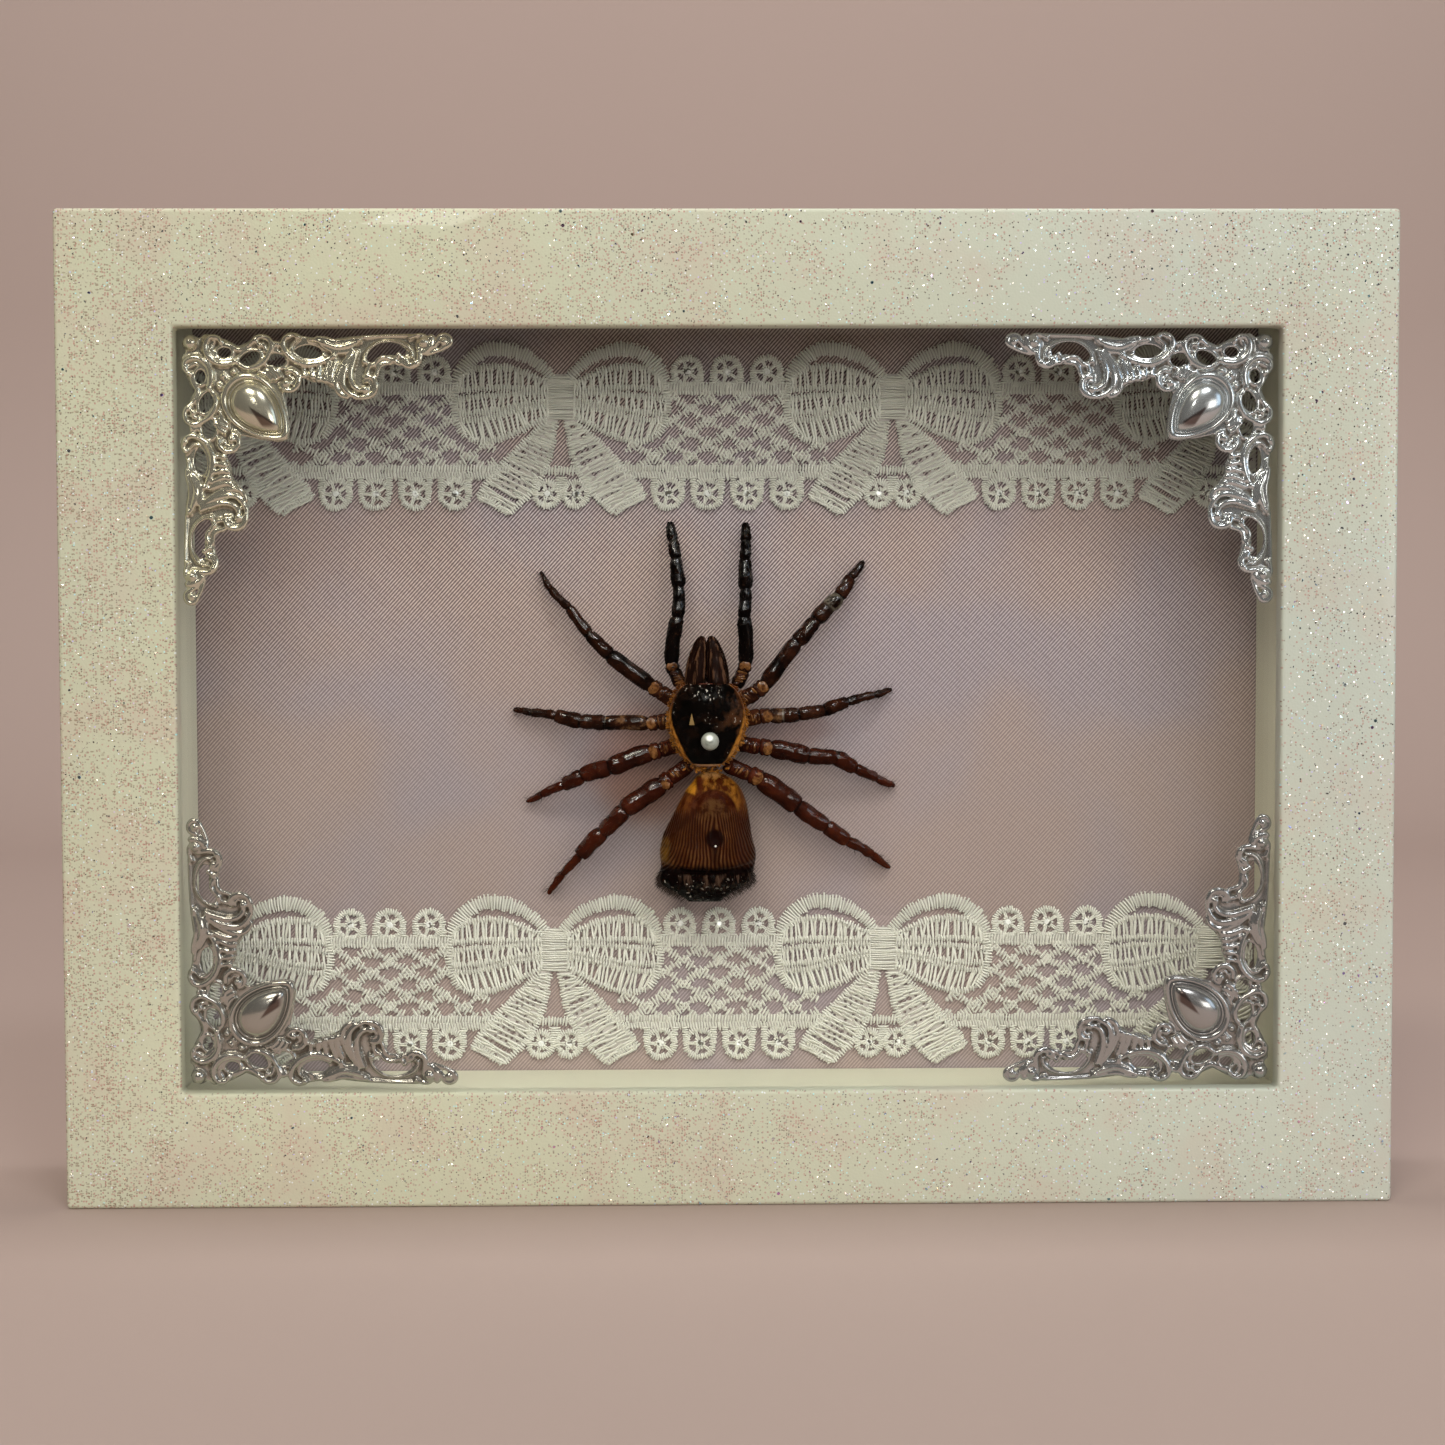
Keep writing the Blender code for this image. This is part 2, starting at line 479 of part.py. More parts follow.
PIN_BACK = BOARD_DEPTH + BOARD * 0.8
add_object("pin", mesh_from(round_bar(PIN_RADIUS, PEARL_DEPTH + PEARL_RADIUS + GAP, PIN_BACK, 8), "pin"),
           STEEL)
bore = add_object("pin_bore", mesh_from(round_bar(PIN_BORE, PEARL_DEPTH, FRAME_DEPTH - GAP, 8), "pin_bore"),
                  group=cutters)
bore.hide_render = True
bore.display_type = "WIRE"
short_bore = add_object("board_bore", mesh_from(round_bar(PIN_BORE, SATIN_FRONT, PIN_BACK + GAP, 8),
                                                "board_bore"), group=cutters)
short_bore.hide_render = True
short_bore.display_type = "WIRE"
for piece, cutter in ((carapace, bore), (sternum, bore), (satin, bore), (backing_board, short_bore)):
    cut = piece.modifiers.new("pin", "BOOLEAN")
    cut.operation = "DIFFERENCE"
    cut.object = cutter

bm = bmesh.new()
bmesh.ops.create_uvsphere(bm, u_segments=12, v_segments=8, radius=PEARL_RADIUS,
                          matrix=Matrix.Translation(place(PIN_X, PIN_Z, PEARL_DEPTH)))
add_object("pin_head", mesh_from(bm, "pin_head"), PEARL, smooth_angle=60)
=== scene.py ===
import random
from math import atan2, cos, exp, hypot, pi, radians, sin, sqrt, tau

import bmesh
import bpy
import numpy as np
from mathutils import Euler, Matrix, Vector, kdtree, noise


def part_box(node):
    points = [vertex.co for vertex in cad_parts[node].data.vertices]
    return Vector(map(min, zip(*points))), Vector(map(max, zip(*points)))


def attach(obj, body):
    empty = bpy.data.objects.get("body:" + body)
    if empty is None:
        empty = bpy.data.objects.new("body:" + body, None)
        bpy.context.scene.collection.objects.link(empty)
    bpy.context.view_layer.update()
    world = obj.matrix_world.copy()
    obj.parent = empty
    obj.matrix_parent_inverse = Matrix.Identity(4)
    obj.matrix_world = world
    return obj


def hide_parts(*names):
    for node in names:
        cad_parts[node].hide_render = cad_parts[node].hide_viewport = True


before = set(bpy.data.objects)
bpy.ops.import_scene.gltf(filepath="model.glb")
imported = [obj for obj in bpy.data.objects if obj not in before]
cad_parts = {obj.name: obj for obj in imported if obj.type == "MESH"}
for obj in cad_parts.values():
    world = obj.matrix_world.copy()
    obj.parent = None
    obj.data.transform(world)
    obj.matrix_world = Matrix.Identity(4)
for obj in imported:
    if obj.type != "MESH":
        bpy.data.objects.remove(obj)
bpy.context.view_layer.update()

mm = 0.001
faceY, middleZ = -0.015, 0.07725     # the face of the box, and the height of its middle
halfWide, halfTall = 103.5, 77.25    # millimetres, as most lengths below


def at(x, z, depth):    # across and up from the middle of the box, and back from its face
    return Vector((x * mm, faceY + depth * mm, middleZ + z * mm))


def clamp(value):    # held between 0 and 1
    return max(0.0, min(1.0, value))


def squared(value):
    return value * value


# Shader maths: an expression on wires adds its Math nodes

def plug(tree, socket, value):
    if isinstance(value, Wire):
        tree.links.new(value.socket, socket)
    elif isinstance(value, (tuple, list)) and len(value) == 3 and socket.type == "RGBA":
        socket.default_value = (*value, 1.0)
    else:
        socket.default_value = value


class Wire:
    def __init__(self, tree, socket):
        self.tree, self.socket = tree, socket

    def maths(self, operation, *terms):
        node = self.tree.nodes.new("ShaderNodeMath")
        node.operation = operation
        for socket, term in zip(node.inputs, terms):
            plug(self.tree, socket, term)
        return Wire(self.tree, node.outputs[0])

    def __add__(self, other):
        return self.maths("ADD", self, other)

    def __sub__(self, other):
        return self.maths("SUBTRACT", self, other)

    def __rsub__(self, other):
        return self.maths("SUBTRACT", other, self)

    def __mul__(self, other):
        return self.maths("MULTIPLY", self, other)

    def __gt__(self, other):
        return self.maths("GREATER_THAN", self, other)

    def __lt__(self, other):
        return self.maths("LESS_THAN", self, other)

    def __abs__(self):
        return self.maths("ABSOLUTE", self)

    def most(self, other):
        return self.maths("MAXIMUM", self, other)

    def least(self, other):
        return self.maths("MINIMUM", self, other)

    def wave(self):
        return self.maths("SINE", self)

    __radd__, __rmul__ = __add__, __mul__

    def step(self, low, high):    # 0 below low, 1 above high, smooth between
        node = self.tree.nodes.new("ShaderNodeMapRange")
        node.interpolation_type = "SMOOTHSTEP"
        for socket, term in zip(node.inputs, (self, low, high, 0.0, 1.0)):
            plug(self.tree, socket, term)
        return Wire(self.tree, node.outputs[0])


class Finish:
    def __init__(self, name, **sockets):
        self.material = bpy.data.materials.new(name)
        self.material.use_nodes = True
        self.tree = self.material.node_tree
        self.shader = self.tree.nodes["Principled BSDF"]
        self.say(**sockets)
        self.place = self.add("TexCoord", out="Object")
        split = self.tree.nodes.new("ShaderNodeSeparateXYZ")
        self.tree.links.new(self.place.socket, split.inputs[0])
        self.x, self.y, self.z = (Wire(self.tree, socket) for socket in split.outputs)

    def say(self, **sockets):    # baseColor and the like name the shader's sockets
        for name, value in sockets.items():
            wanted = name.lower()
            socket = next(s for s in self.shader.inputs if s.name.replace(" ", "").lower() == wanted)
            plug(self.tree, socket, value)

    def mark(self, name):    # an attribute of the mesh
        return self.add("Attribute", {"attribute_name": name}, out="Fac")

    def add(self, kind, settings=None, values=None, out=None):
        node = self.tree.nodes.new("ShaderNode" + kind)
        for name, value in (settings or {}).items():
            if name == "stops":
                ramp = node.color_ramp.elements
                while len(ramp) < len(value):
                    ramp.new(0.5)
                for stop, (position, colour) in zip(ramp, value):
                    stop.position, stop.color = position, (*colour, 1.0)
            else:
                setattr(node, name, value)
        for name, value in (values or {}).items():
            socket = node.inputs[name] if isinstance(name, int) else next(
                s for s in node.inputs if s.enabled and s.name == name)
            plug(self.tree, socket, value)
        found = next(s for s in node.outputs if s.enabled and out in (None, s.name))
        return Wire(self.tree, found)

    def mix(self, factor, first, second, blend="MIX"):
        return self.add("Mix", {"data_type": "RGBA", "blend_type": blend},
                        {"Factor": factor, "A": first, "B": second})

    def stretched(self, scale, turn=(0, 0, 0)):
        return self.add("Mapping", {}, {"Vector": self.place, "Scale": scale, "Rotation": turn})

    def clouds(self, scale, detail=2.0, rough=0.5, place=None, flat=False):
        return self.add("TexNoise", {"noise_dimensions": "2D" if flat else "3D"},
                        {"Vector": place or self.place, "Scale": scale, "Detail": detail,
                         "Roughness": rough}, out="Fac")

    def cells(self, scale, place):    # distance to the middle of a cell, and two values drawn for the cell
        near = self.add("TexVoronoi", {"voronoi_dimensions": "2D"}, {"Vector": place, "Scale": scale})
        drawn = Wire(self.tree, near.socket.node.outputs["Color"])
        pick = self.add("SeparateColor", {}, {"Color": drawn}, out="Red")
        return near, pick, Wire(self.tree, pick.socket.node.outputs["Green"])

    def bump(self, height, distance, strength=1.0):
        self.say(normal=self.add("Bump", {}, {"Height": height, "Distance": distance,
                                              "Strength": strength}))


def mottled(name, patches, dark, light, grain=None, **sockets):    # two tones in clouds, and a fine bump
    finish = Finish(name, **sockets)
    finish.say(baseColor=finish.mix(finish.clouds(*patches), dark, light))
    if grain:
        finish.bump(finish.clouds(*grain[0]), *grain[1:])
    return finish


# Pieces

def grow(bm, rim):    # extrudes a rim of edges; gives the new vertices and the new rim
    grown = bmesh.ops.extrude_edge_only(bm, edges=rim)["geom"]
    verts = [item for item in grown if isinstance(item, bmesh.types.BMVert)]
    return verts, [item for item in grown if isinstance(item, bmesh.types.BMEdge)
                   and all(vert in verts for vert in item.verts)]


def backed(bm):    # gives a sheet its second side, and returns that side's vertices
    grown = bmesh.ops.extrude_face_region(bm, geom=list(bm.faces))["geom"]
    return [item for item in grown if isinstance(item, bmesh.types.BMVert)]


def linked(name, data):
    made = bpy.data.objects.new(name, data)
    bpy.context.scene.collection.objects.link(made)
    return made


def meshOf(bm, name, fixNormals=True):
    if fixNormals:
        bmesh.ops.recalc_face_normals(bm, faces=bm.faces)
    mesh = bpy.data.meshes.new(name)
    bm.to_mesh(mesh)
    bm.free()
    return mesh


def piece(name, mesh, finish, replaced=(), smooth=35):
    if isinstance(mesh, bmesh.types.BMesh):
        mesh = meshOf(mesh, name)
    made = linked(name, mesh)
    mesh.materials.clear()
    mesh.materials.append(finish.material)
    if smooth:
        mesh.shade_smooth()
        mesh.set_sharp_from_angle(angle=radians(smooth))
    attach(made, "root")
    if replaced:
        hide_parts(*replaced)
    return made


def finished(source):    # the mesh of an object or a curve with its modifiers applied
    bpy.context.view_layer.update()
    shown = source.evaluated_get(bpy.context.evaluated_depsgraph_get())
    mesh = bpy.data.meshes.new_from_object(shown)
    mesh.name = source.name
    bpy.data.objects.remove(source, do_unlink=True)
    return mesh


def threads(name, strands, thick, resolution=0):    # strands of (point, radius share) as closed bars
    curve = bpy.data.curves.new(name, "CURVE")
    curve.dimensions = "3D"
    curve.bevel_depth = thick
    curve.bevel_resolution = resolution
    curve.use_fill_caps = True
    for strand in strands:
        spline = curve.splines.new("POLY")
        spline.points.add(len(strand) - 1)
        for knot, (spot, share) in zip(spline.points, strand):
            knot.co = (*spot, 1)
            knot.radius = share
    return finished(linked(name, curve))


def copies(name, template, places, tints=None):    # one mesh with the template at each place
    template.verts.ensure_lookup_table()
    corners = np.array([vert.co[:] for vert in template.verts])
    faces = [[vert.index for vert in face.verts] for face in template.faces]
    turns = np.array(places)
    spots = np.einsum("nij,vj->nvi", turns[:, :3, :3], corners) + turns[:, None, :3, 3]
    count = len(corners)
    mesh = bpy.data.meshes.new(name)
    mesh.from_pydata(spots.reshape(-1, 3).tolist(), [],
                     [[corner + count * step for corner in face] for step in range(len(places))
                      for face in faces])
    if tints is not None:
        tint = mesh.attributes.new("tint", "FLOAT", "POINT")
        tint.data.foreach_set("value", np.repeat(np.array(tints, np.float32), count))
    return mesh


def setCoat(node, finish):    # dresses a solid of the frame
    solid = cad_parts[node]
    if not solid.material_slots:
        solid.data.materials.append(finish.material)
    for slot in solid.material_slots:
        slot.material = finish.material


# Camera, at the photograph's angle

camera = linked("camera", bpy.data.cameras.new("camera"))
camera.data.sensor_width, camera.data.lens = 36.0, 56.38
camera.data.clip_start = 0.01
camera.location = (-0.0064, -0.3648, 0.09025)
camera.rotation_euler = (radians(87.587), radians(0.143), radians(-0.848))
bpy.context.scene.camera = camera

# Floor and light

studio = {"floorColour": (0.475, 0.366, 0.325), "floorHalf": 1.6, "floorFront": -0.36, "wallBack": 0.55,
          "wallHigh": 1.6, "bend": 0.25, "bendSteps": 10, "world": (0.82, 0.78, 0.74), "worldPower": 0.01,
          "backdrop": 0.5}    # in metres; the backdrop is what the camera sees past the floor
boxMiddle = (0, 0, 0.077)


def makeFloor():
    bm = bmesh.new()
    bmesh.ops.create_grid(bm, x_segments=1, y_segments=1, size=studio["floorHalf"])
    back = [edge for edge in bm.edges if all(vert.co.y > 0 for vert in edge.verts)]
    for vert in bm.verts:
        vert.co.y = studio["wallBack"] if vert.co.y > 0 else studio["floorFront"]
    for step in range(1, studio["bendSteps"] + 1):    # the floor bends up into the wall
        turn = radians(90) * step / studio["bendSteps"]
        verts, back = grow(bm, back)
        for vert in verts:
            vert.co.y = studio["wallBack"] + studio["bend"] * sin(turn)
            vert.co.z = studio["bend"] * (1 - cos(turn))
    for vert in grow(bm, back)[0]:
        vert.co.z += studio["wallHigh"]
    floor = linked("floor", meshOf(bm, "floor", fixNormals=False))
    floor.data.shade_smooth()
    lighter = tuple(share * 1.06 for share in studio["floorColour"])
    paint = mottled("floorPaint", (3.0,), studio["floorColour"], lighter, roughness=0.75)
    floor.data.materials.append(paint.material)


def lamp(name, place, size, power, colour, hidden=(), aim=boxMiddle):    # hidden: kinds of rays that miss it
    light = bpy.data.lights.new(name, "AREA")
    light.shape = "RECTANGLE"
    light.size, light.size_y = size
    light.energy, light.color = power, colour
    made = linked(name, light)
    made.location = place
    made.rotation_euler = (Vector(aim) - Vector(place)).to_track_quat("-Z", "Y").to_euler()
    made.visible_glossy = "glossy" not in hidden
    made.visible_transmission = "transmission" not in hidden


makeFloor()
lamp("lampLeft", (-0.34, -0.80, 1.03), (0.34, 0.26), 3.7, (1.0, 0.95, 0.82))
lamp("lampRight", (0.36, -0.80, 1.03), (0.34, 0.26), 2.9, (0.97, 0.98, 1.0))
lamp("lampFront", (0.1, -1.5, 0.66), (1.4, 0.45), 6.9, (1.0, 0.98, 0.93), ("glossy",))
lamp("lampLow", (-0.1, -1.3, 0.2), (0.6, 0.3), 1.2, (1.0, 0.97, 0.95), ("glossy", "transmission"))
lamp("lampKey", (-0.3, -1.25, 0.66), (0.11, 0.11), 0.7, (1.0, 0.97, 0.9))
lamp("lampFill", (1.0, -1.2, 0.28), (0.5, 0.4), 2.6, (1.0, 0.96, 0.92))
lamp("lampSide", (0.9, -0.5, 0.35), (0.3, 0.5), 0.8, (0.62, 0.80, 1.0))
lamp("lampWall", (0, 0.1, 1.3), (1.2, 0.3), 9.0, (1.0, 0.97, 0.95), aim=(0, 0.8, 0.25))
world = bpy.data.worlds.new("world")
world.use_nodes = True
backdrop = world.node_tree.nodes["Background"]
backdrop.inputs["Color"].default_value = (*studio["world"], 1)
path = world.node_tree.nodes.new("ShaderNodeLightPath")
seen = Wire(world.node_tree, path.outputs["Is Camera Ray"])
plug(world.node_tree, backdrop.inputs["Strength"], seen * studio["backdrop"] + studio["worldPower"])
bpy.context.scene.world = world
bpy.context.scene.view_settings.view_transform = "Standard"
print("camera, floor and lights")

# Frame box: one L section all round, filled and painted over its mitres

box = {"border": 18.0, "lip": 4.0, "wall": 12.0, "back": 30.0, "round": 0.7, "coat": 0.06}


def frameBox():
    reach = [(box["border"], box["coat"]), (0, box["coat"]), (0, box["back"]), (box["wall"], box["back"]),
             (box["wall"], box["lip"]), (box["border"], box["lip"])]
    bm = bmesh.new()
    bmesh.ops.create_grid(bm, x_segments=1, y_segments=1, size=1.0,
                          matrix=Matrix.Rotation(radians(90), 4, "X"))
    bmesh.ops.delete(bm, geom=list(bm.faces), context="FACES_ONLY")
    ring = list(bm.edges)
    first = ring

    def lay(edges, inward, depth):
        for vert in {vert for edge in edges for vert in edge.verts}:
            vert.co = at((halfWide - inward) * (1 if vert.co.x > 0 else -1),
                         (halfTall - inward) * (1 if vert.co.z > (0 if abs(vert.co.z) == 1 else middleZ)
                                                else -1), depth)

    lay(ring, *reach[0])
    for inward, depth in reach[1:]:
        ring = grow(bm, ring)[1]
        lay(ring, inward, depth)
    bmesh.ops.bridge_loops(bm, edges=first + ring)
    bmesh.ops.recalc_face_normals(bm, faces=bm.faces)
    sharp = [edge for edge in bm.edges if edge.calc_face_angle(0) > radians(30)]
    bmesh.ops.bevel(bm, geom=sharp, offset=box["round"] * mm, segments=4, profile=0.5, affect="EDGES",
                    material=-1)
    return bm


def glitterPaint():    # cream paint with flecks strewn over its face, in clouds
    coat = Finish("glitterPaint", roughness=0.42, coatWeight=0.15)
    x, z = coat.x * 1000, (coat.z - middleZ) * 1000
    front = coat.add("CombineXYZ", {}, {"X": coat.x, "Y": coat.z, "Z": coat.y})
    wide = coat.add("CombineXYZ", {}, {"X": coat.x * 0.42, "Y": coat.z, "Z": coat.y})
    right, low = x.step(-60.0, 110.0), (z * -1).step(-10.0, 80.0)    # the tint shifts across the face: painted light, cooler toward the right and warmer toward the bottom left
    slow = coat.clouds(14.0, flat=True, place=front)
    patch = coat.clouds(70.0, 3.0, flat=True, place=front)
    cream = coat.mix(right, (0.70, 0.71, 0.51), (0.65, 0.70, 0.61))
    cream = coat.mix(low * (1 - right) * 0.6, cream, (0.73, 0.74, 0.55))
    cream = coat.mix(slow.step(0.4, 0.7) * 0.5, cream, (0.67, 0.69, 0.54))
    cream = coat.mix(patch.step(0.46, 0.7) * (0.36 - right * 0.14), cream, (0.69, 0.54, 0.44))
    face = coat.y < -0.0141    # the flecks lie on the face only
    crowd = (coat.clouds(160.0, 3.0, 0.6, flat=True, place=front) * 1.5 + slow * 1.0 - 0.85) \
        * (1 - right * 0.5)
    side = abs(x).step(84.0, 86.0) * (1 - x.step(-20.0, 20.0))    # long flecks on the left rail
    for scale, share, colour, size, place in ((2700.0, 0.55, (0.24, 0.15, 0.10), 0.34, front),
                                              (2300.0, 0.62, (0.56, 0.27, 0.22), 0.36, front),
                                              (2900.0, 0.35, (0.30, 0.21, 0.13), 0.34, wide)):
        near, pick, other = coat.cells(scale, place)
        mask = (near < size) * (pick < crowd * share) * face * (other * 0.5 + 0.3)
        cream = coat.mix(mask * side if place is wide else mask, cream, colour)
    near, pick, other = coat.cells(2500.0, front)
    spark = (near < 0.34) * (pick > 0.965 - right * 0.03) * face    # flakes too small to be pieces
    light = coat.add("ValToRGB", {"stops": [(0.0, (1.0, 1.0, 0.95)), (0.45, (0.95, 1.0, 1.0)),
                                            (0.7, (0.6, 1.0, 0.95)), (0.85, (0.75, 0.65, 1.0)),
                                            (1.0, (1.0, 0.85, 0.55))]}, {"Fac": other}, out="Color")
    coat.say(baseColor=coat.mix(spark, cream, light), roughness=0.44 - spark * 0.25)
    coat.bump((1 - near) * 0.5 * face + coat.clouds(700.0, 2.0) * 0.8, 0.00006, 0.5)
    return coat


paint = glitterPaint()
piece("frameBox", frameBox(), paint,
      ("rail_top", "rail_bottom", "rail_left", "rail_right"), smooth=25)

flakes = {"count": 5200, "outer": (103.0, 76.8), "inner": (86.2, 59.9), "size": (0.09, 0.17), "big": 0.09,
          "bigSize": (0.2, 0.32), "tilt": 16.0, "thick": 0.02}    # big: the share of the coloured ones


def glitterFlakes():
    dice = random.Random(7)
    places, tints = [], []
    while len(places) < flakes["count"]:
        x, z = (dice.uniform(-reach, reach) for reach in flakes["outer"])
        if abs(x) < flakes["inner"][0] and abs(z) < flakes["inner"][1]:
            continue
        cloud = noise.noise(Vector((x, z, 3.0)) / 11.0) + 0.6 * noise.noise(Vector((x, z, 9.0)) / 4.0)
        if dice.random() > 0.45 + 0.9 * cloud + 0.25 * (x > 40) + 0.3 * (z > 70):
            continue
        big = dice.random() < flakes["big"]
        size = dice.uniform(*flakes["bigSize" if big else "size"])
        tilts = [radians(dice.gauss(0, flakes["tilt"])) for axis in range(2)]
        lean = (Euler((tilts[0], 0, tilts[1])).to_matrix().to_4x4()
                @ Matrix.Rotation(dice.uniform(0, tau), 4, "Y") @ Matrix.Rotation(radians(90), 4, "X"))
        depth = flakes["thick"] + size * hypot(lean[1][0], lean[1][1])    # behind the face of the box
        places.append(Matrix.Translation(at(x, z, depth)) @ lean @ Matrix.Diagonal((size, size, 1, 1)))
        tints.append(dice.uniform(0.45, 1.0) if big else dice.uniform(0.0, 0.6))
    bm = bmesh.new()
    bmesh.ops.create_cone(bm, cap_ends=True, segments=6, radius1=mm, radius2=0.9 * mm,
                          depth=flakes["thick"] * mm)
    mesh = copies("glitterFlakes", bm, places, tints)
    bm.free()
    shine = Finish("flakeFilm", metallic=0.9, roughness=0.12, coatWeight=1.0, coatRoughness=0.05)
    shine.say(baseColor=shine.add("ValToRGB", {"stops": [
        (0.0, (0.95, 0.92, 0.82)), (0.35, (0.98, 0.90, 0.86)), (0.55, (0.85, 0.95, 1.0)),
        (0.68, (0.45, 0.85, 0.90)), (0.78, (0.45, 0.40, 0.95)), (0.88, (0.80, 0.45, 0.85)),
        (1.0, (1.0, 0.80, 0.45))]}, {"Fac": shine.mark("tint")}, out="Color"))
    return piece("glitterFlakes", mesh, shine, smooth=0)


glitterFlakes()
print("frame box and glitter")

# Glass, spacers, backing

pane = Finish("paneGlass", baseColor=(0.97, 0.985, 0.98), roughness=0.0, transmissionWeight=1.0,
              ior=1.45)


def letShadowsThrough(finish):
    out = finish.tree.nodes["Material Output"]
    clear = finish.add("BsdfTransparent", {}, {"Color": (0.96, 0.97, 0.96)})
    ray = finish.add("LightPath", out="Is Shadow Ray")
    both = finish.tree.nodes.new("ShaderNodeMixShader")
    plug(finish.tree, both.inputs[0], ray)
    plug(finish.tree, both.inputs[1], Wire(finish.tree, finish.shader.outputs[0]))
    plug(finish.tree, both.inputs[2], clear)
    finish.tree.links.new(both.outputs[0], out.inputs[0])


letShadowsThrough(pane)
setCoat("glass", pane)

cream = mottled("spacerPaint", (90.0, 3.0), (0.60, 0.58, 0.45), (0.66, 0.64, 0.50), roughness=0.5)
cream.bump(cream.clouds(700.0, 2.0, place=cream.stretched((1, 0.12, 1))), 0.00005, 0.5)
for name in ("spacer_top", "spacer_bottom", "spacer_left", "spacer_right"):
    setCoat(name, cream)

setCoat("backing_board", mottled("greyCard", (900.0, 3.0), (0.50, 0.47, 0.42), (0.62, 0.59, 0.53),
                                 ((2200.0, 3.0), 0.00004), roughness=0.9))

board = Finish("backBoard", roughness=0.82)
fibre = board.clouds(900.0, 4.0, 0.65, board.stretched((1, 1, 0.35)))
board.say(baseColor=board.mix(fibre.step(0.3, 0.7), (0.20, 0.115, 0.055), (0.33, 0.20, 0.10)))
board.bump(fibre, 0.00008, 0.7)
setCoat("back_panel", board)

steel = mottled("springSteel", (300.0,), (0.50, 0.50, 0.50), (0.68, 0.67, 0.65), metallic=1.0)
steel.say(roughness=steel.clouds(2500.0, 2.0, place=steel.stretched((0.1, 1, 1))) * 0.25 + 0.2)


tab = {"count": 6, "round": 1.4, "inset": 0.02}


def panelTab(number):    # a flat tab with rounded corners, inside the box of its solid
    low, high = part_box(f"tab_{number}")
    size, middle = high - low, (high + low) / 2
    bm = bmesh.new()
    bmesh.ops.create_grid(bm, x_segments=8, y_segments=8, size=0.5,
                          matrix=Matrix.Translation(middle) @ Matrix.Diagonal((size.x, 1, size.z, 1))
                          @ Matrix.Rotation(radians(90), 4, "X"))
    corners = [vert for vert in bm.verts if len(vert.link_edges) == 2]
    bmesh.ops.bevel(bm, geom=corners, offset=tab["round"] * mm, segments=5, profile=0.5, affect="VERTICES",
                    material=-1)
    for vert in bm.verts:
        vert.co.y = low.y + tab["inset"] * mm
    for vert in backed(bm):
        vert.co.y = high.y - tab["inset"] * mm
    return piece(f"panelTab{number}", bm, steel, (f"tab_{number}",), smooth=40)


for number in range(1, tab["count"] + 1):
    panelTab(number)

# Satin: a stretched cloth that waves a little over the board

satin = {"front": 24.05, "thick": 0.30, "wave": 0.04, "halfX": 91.2, "halfZ": 64.95, "pitch": 0.45,
         "slant": 48, "stitch": 0.9}


def satinCloth():
    bm = bmesh.new()
    layer = bm.loops.layers.uv.new("weave")
    bmesh.ops.create_grid(bm, x_segments=96, y_segments=68, size=1.0,
                          matrix=Matrix.Diagonal((satin["halfX"], satin["halfZ"], 1, 1)))
    for face in bm.faces:
        for loop in face.loops:
            loop[layer].uv = loop.vert.co.xy * 0.01    # a hundredth of a unit for each millimetre
    for vert in bm.verts:
        x, z = vert.co.x, vert.co.y
        wave = satin["wave"] * (noise.noise(Vector((x, z * 0.4, 0)) / 26.0) + 0.5)
        vert.co = at(x, z, satin["front"] + wave)
    for face in bm.faces:
        if face.normal.y > 0:
            face.normal_flip()
    bmesh.ops.recalc_face_normals(bm, faces=bm.faces)
    for vert in backed(bm):
        vert.co.y = faceY + (satin["front"] + satin["thick"]) * mm
    weave = Finish("mauveSatin", roughness=0.42, sheenWeight=0.25, sheenRoughness=0.35,
                   sheenTint=(1.0, 0.86, 0.88))
    place = weave.add("UVMap", {"uv_map": "weave"})
    across = weave.add("SeparateXYZ", {}, {"Vector": place}, out="X")
    up = Wire(weave.tree, across.socket.node.outputs["Y"])
    x, z = across * 100, up * 100    # back to millimetres
    sway = weave.clouds(12.0, 2.0)
    turn = radians(satin["slant"])
    wale = (x * sin(turn) - z * cos(turn)) * (tau / satin["pitch"]) + sway * 5.0
    stitch = (x * cos(turn) + z * sin(turn)) * (tau / satin["stitch"])
    fine = weave.clouds(1500.0, 2.0, 0.7)
    line = (wale.wave() * 0.5 + 0.5) * (stitch.wave() * 0.1 + 0.6 + fine * 0.6)
    colour = weave.mix(line.step(0.15, 0.95), (0.105, 0.069, 0.075), (0.61, 0.51, 0.485))
    calm = z.step(30.0, -20.0) * 0.65    # the weave shows less toward the bottom
    colour = weave.mix(calm, colour, (0.295, 0.236, 0.232))
    colour = weave.mix(sway.step(0.35, 0.7) * 0.3, colour, (0.33, 0.25, 0.265))
    drift = weave.clouds(30.0, 2.0)
    tone = weave.mix(drift.step(0.36, 0.64), (1.0, 0.94, 0.87), (0.91, 0.93, 1.0))
    colour = weave.mix(1.0, colour, tone, "MULTIPLY")
    stainAndLegShadow = squared(x + 13.5) * 0.008 + squared(z + 9.5) * 0.0085 + (drift - 0.5) * 1.5    # by the specimen: a brown stain, with painted shadow of the legs on the left
    colour = weave.mix(stainAndLegShadow.step(1.25, 0.2), colour, (0.92, 0.66, 0.54), "MULTIPLY")
    shade = squared(x - 7.5) * 0.007 + squared(z + 3.6) * 0.07 + (drift - 0.5) * 1.2    # painted shadow under the limbs
    colour = weave.mix(shade.step(1.1, 0.3), colour, (0.74, 0.66, 0.66), "MULTIPLY")
    weave.say(baseColor=colour, roughness=line * -0.12 + 0.5)
    weave.bump(line * (calm * -1.0 + 1.0), 0.00004, 0.5)
    made = piece("satinCloth", bm, weave, ("satin",), smooth=40)
    return made


satinCloth()
print("glass, spacers, backing and satin")

# Lace: threads stitched across bands, over a thin web. Millimetres from the middle of a bow and from
# the tips of its tails

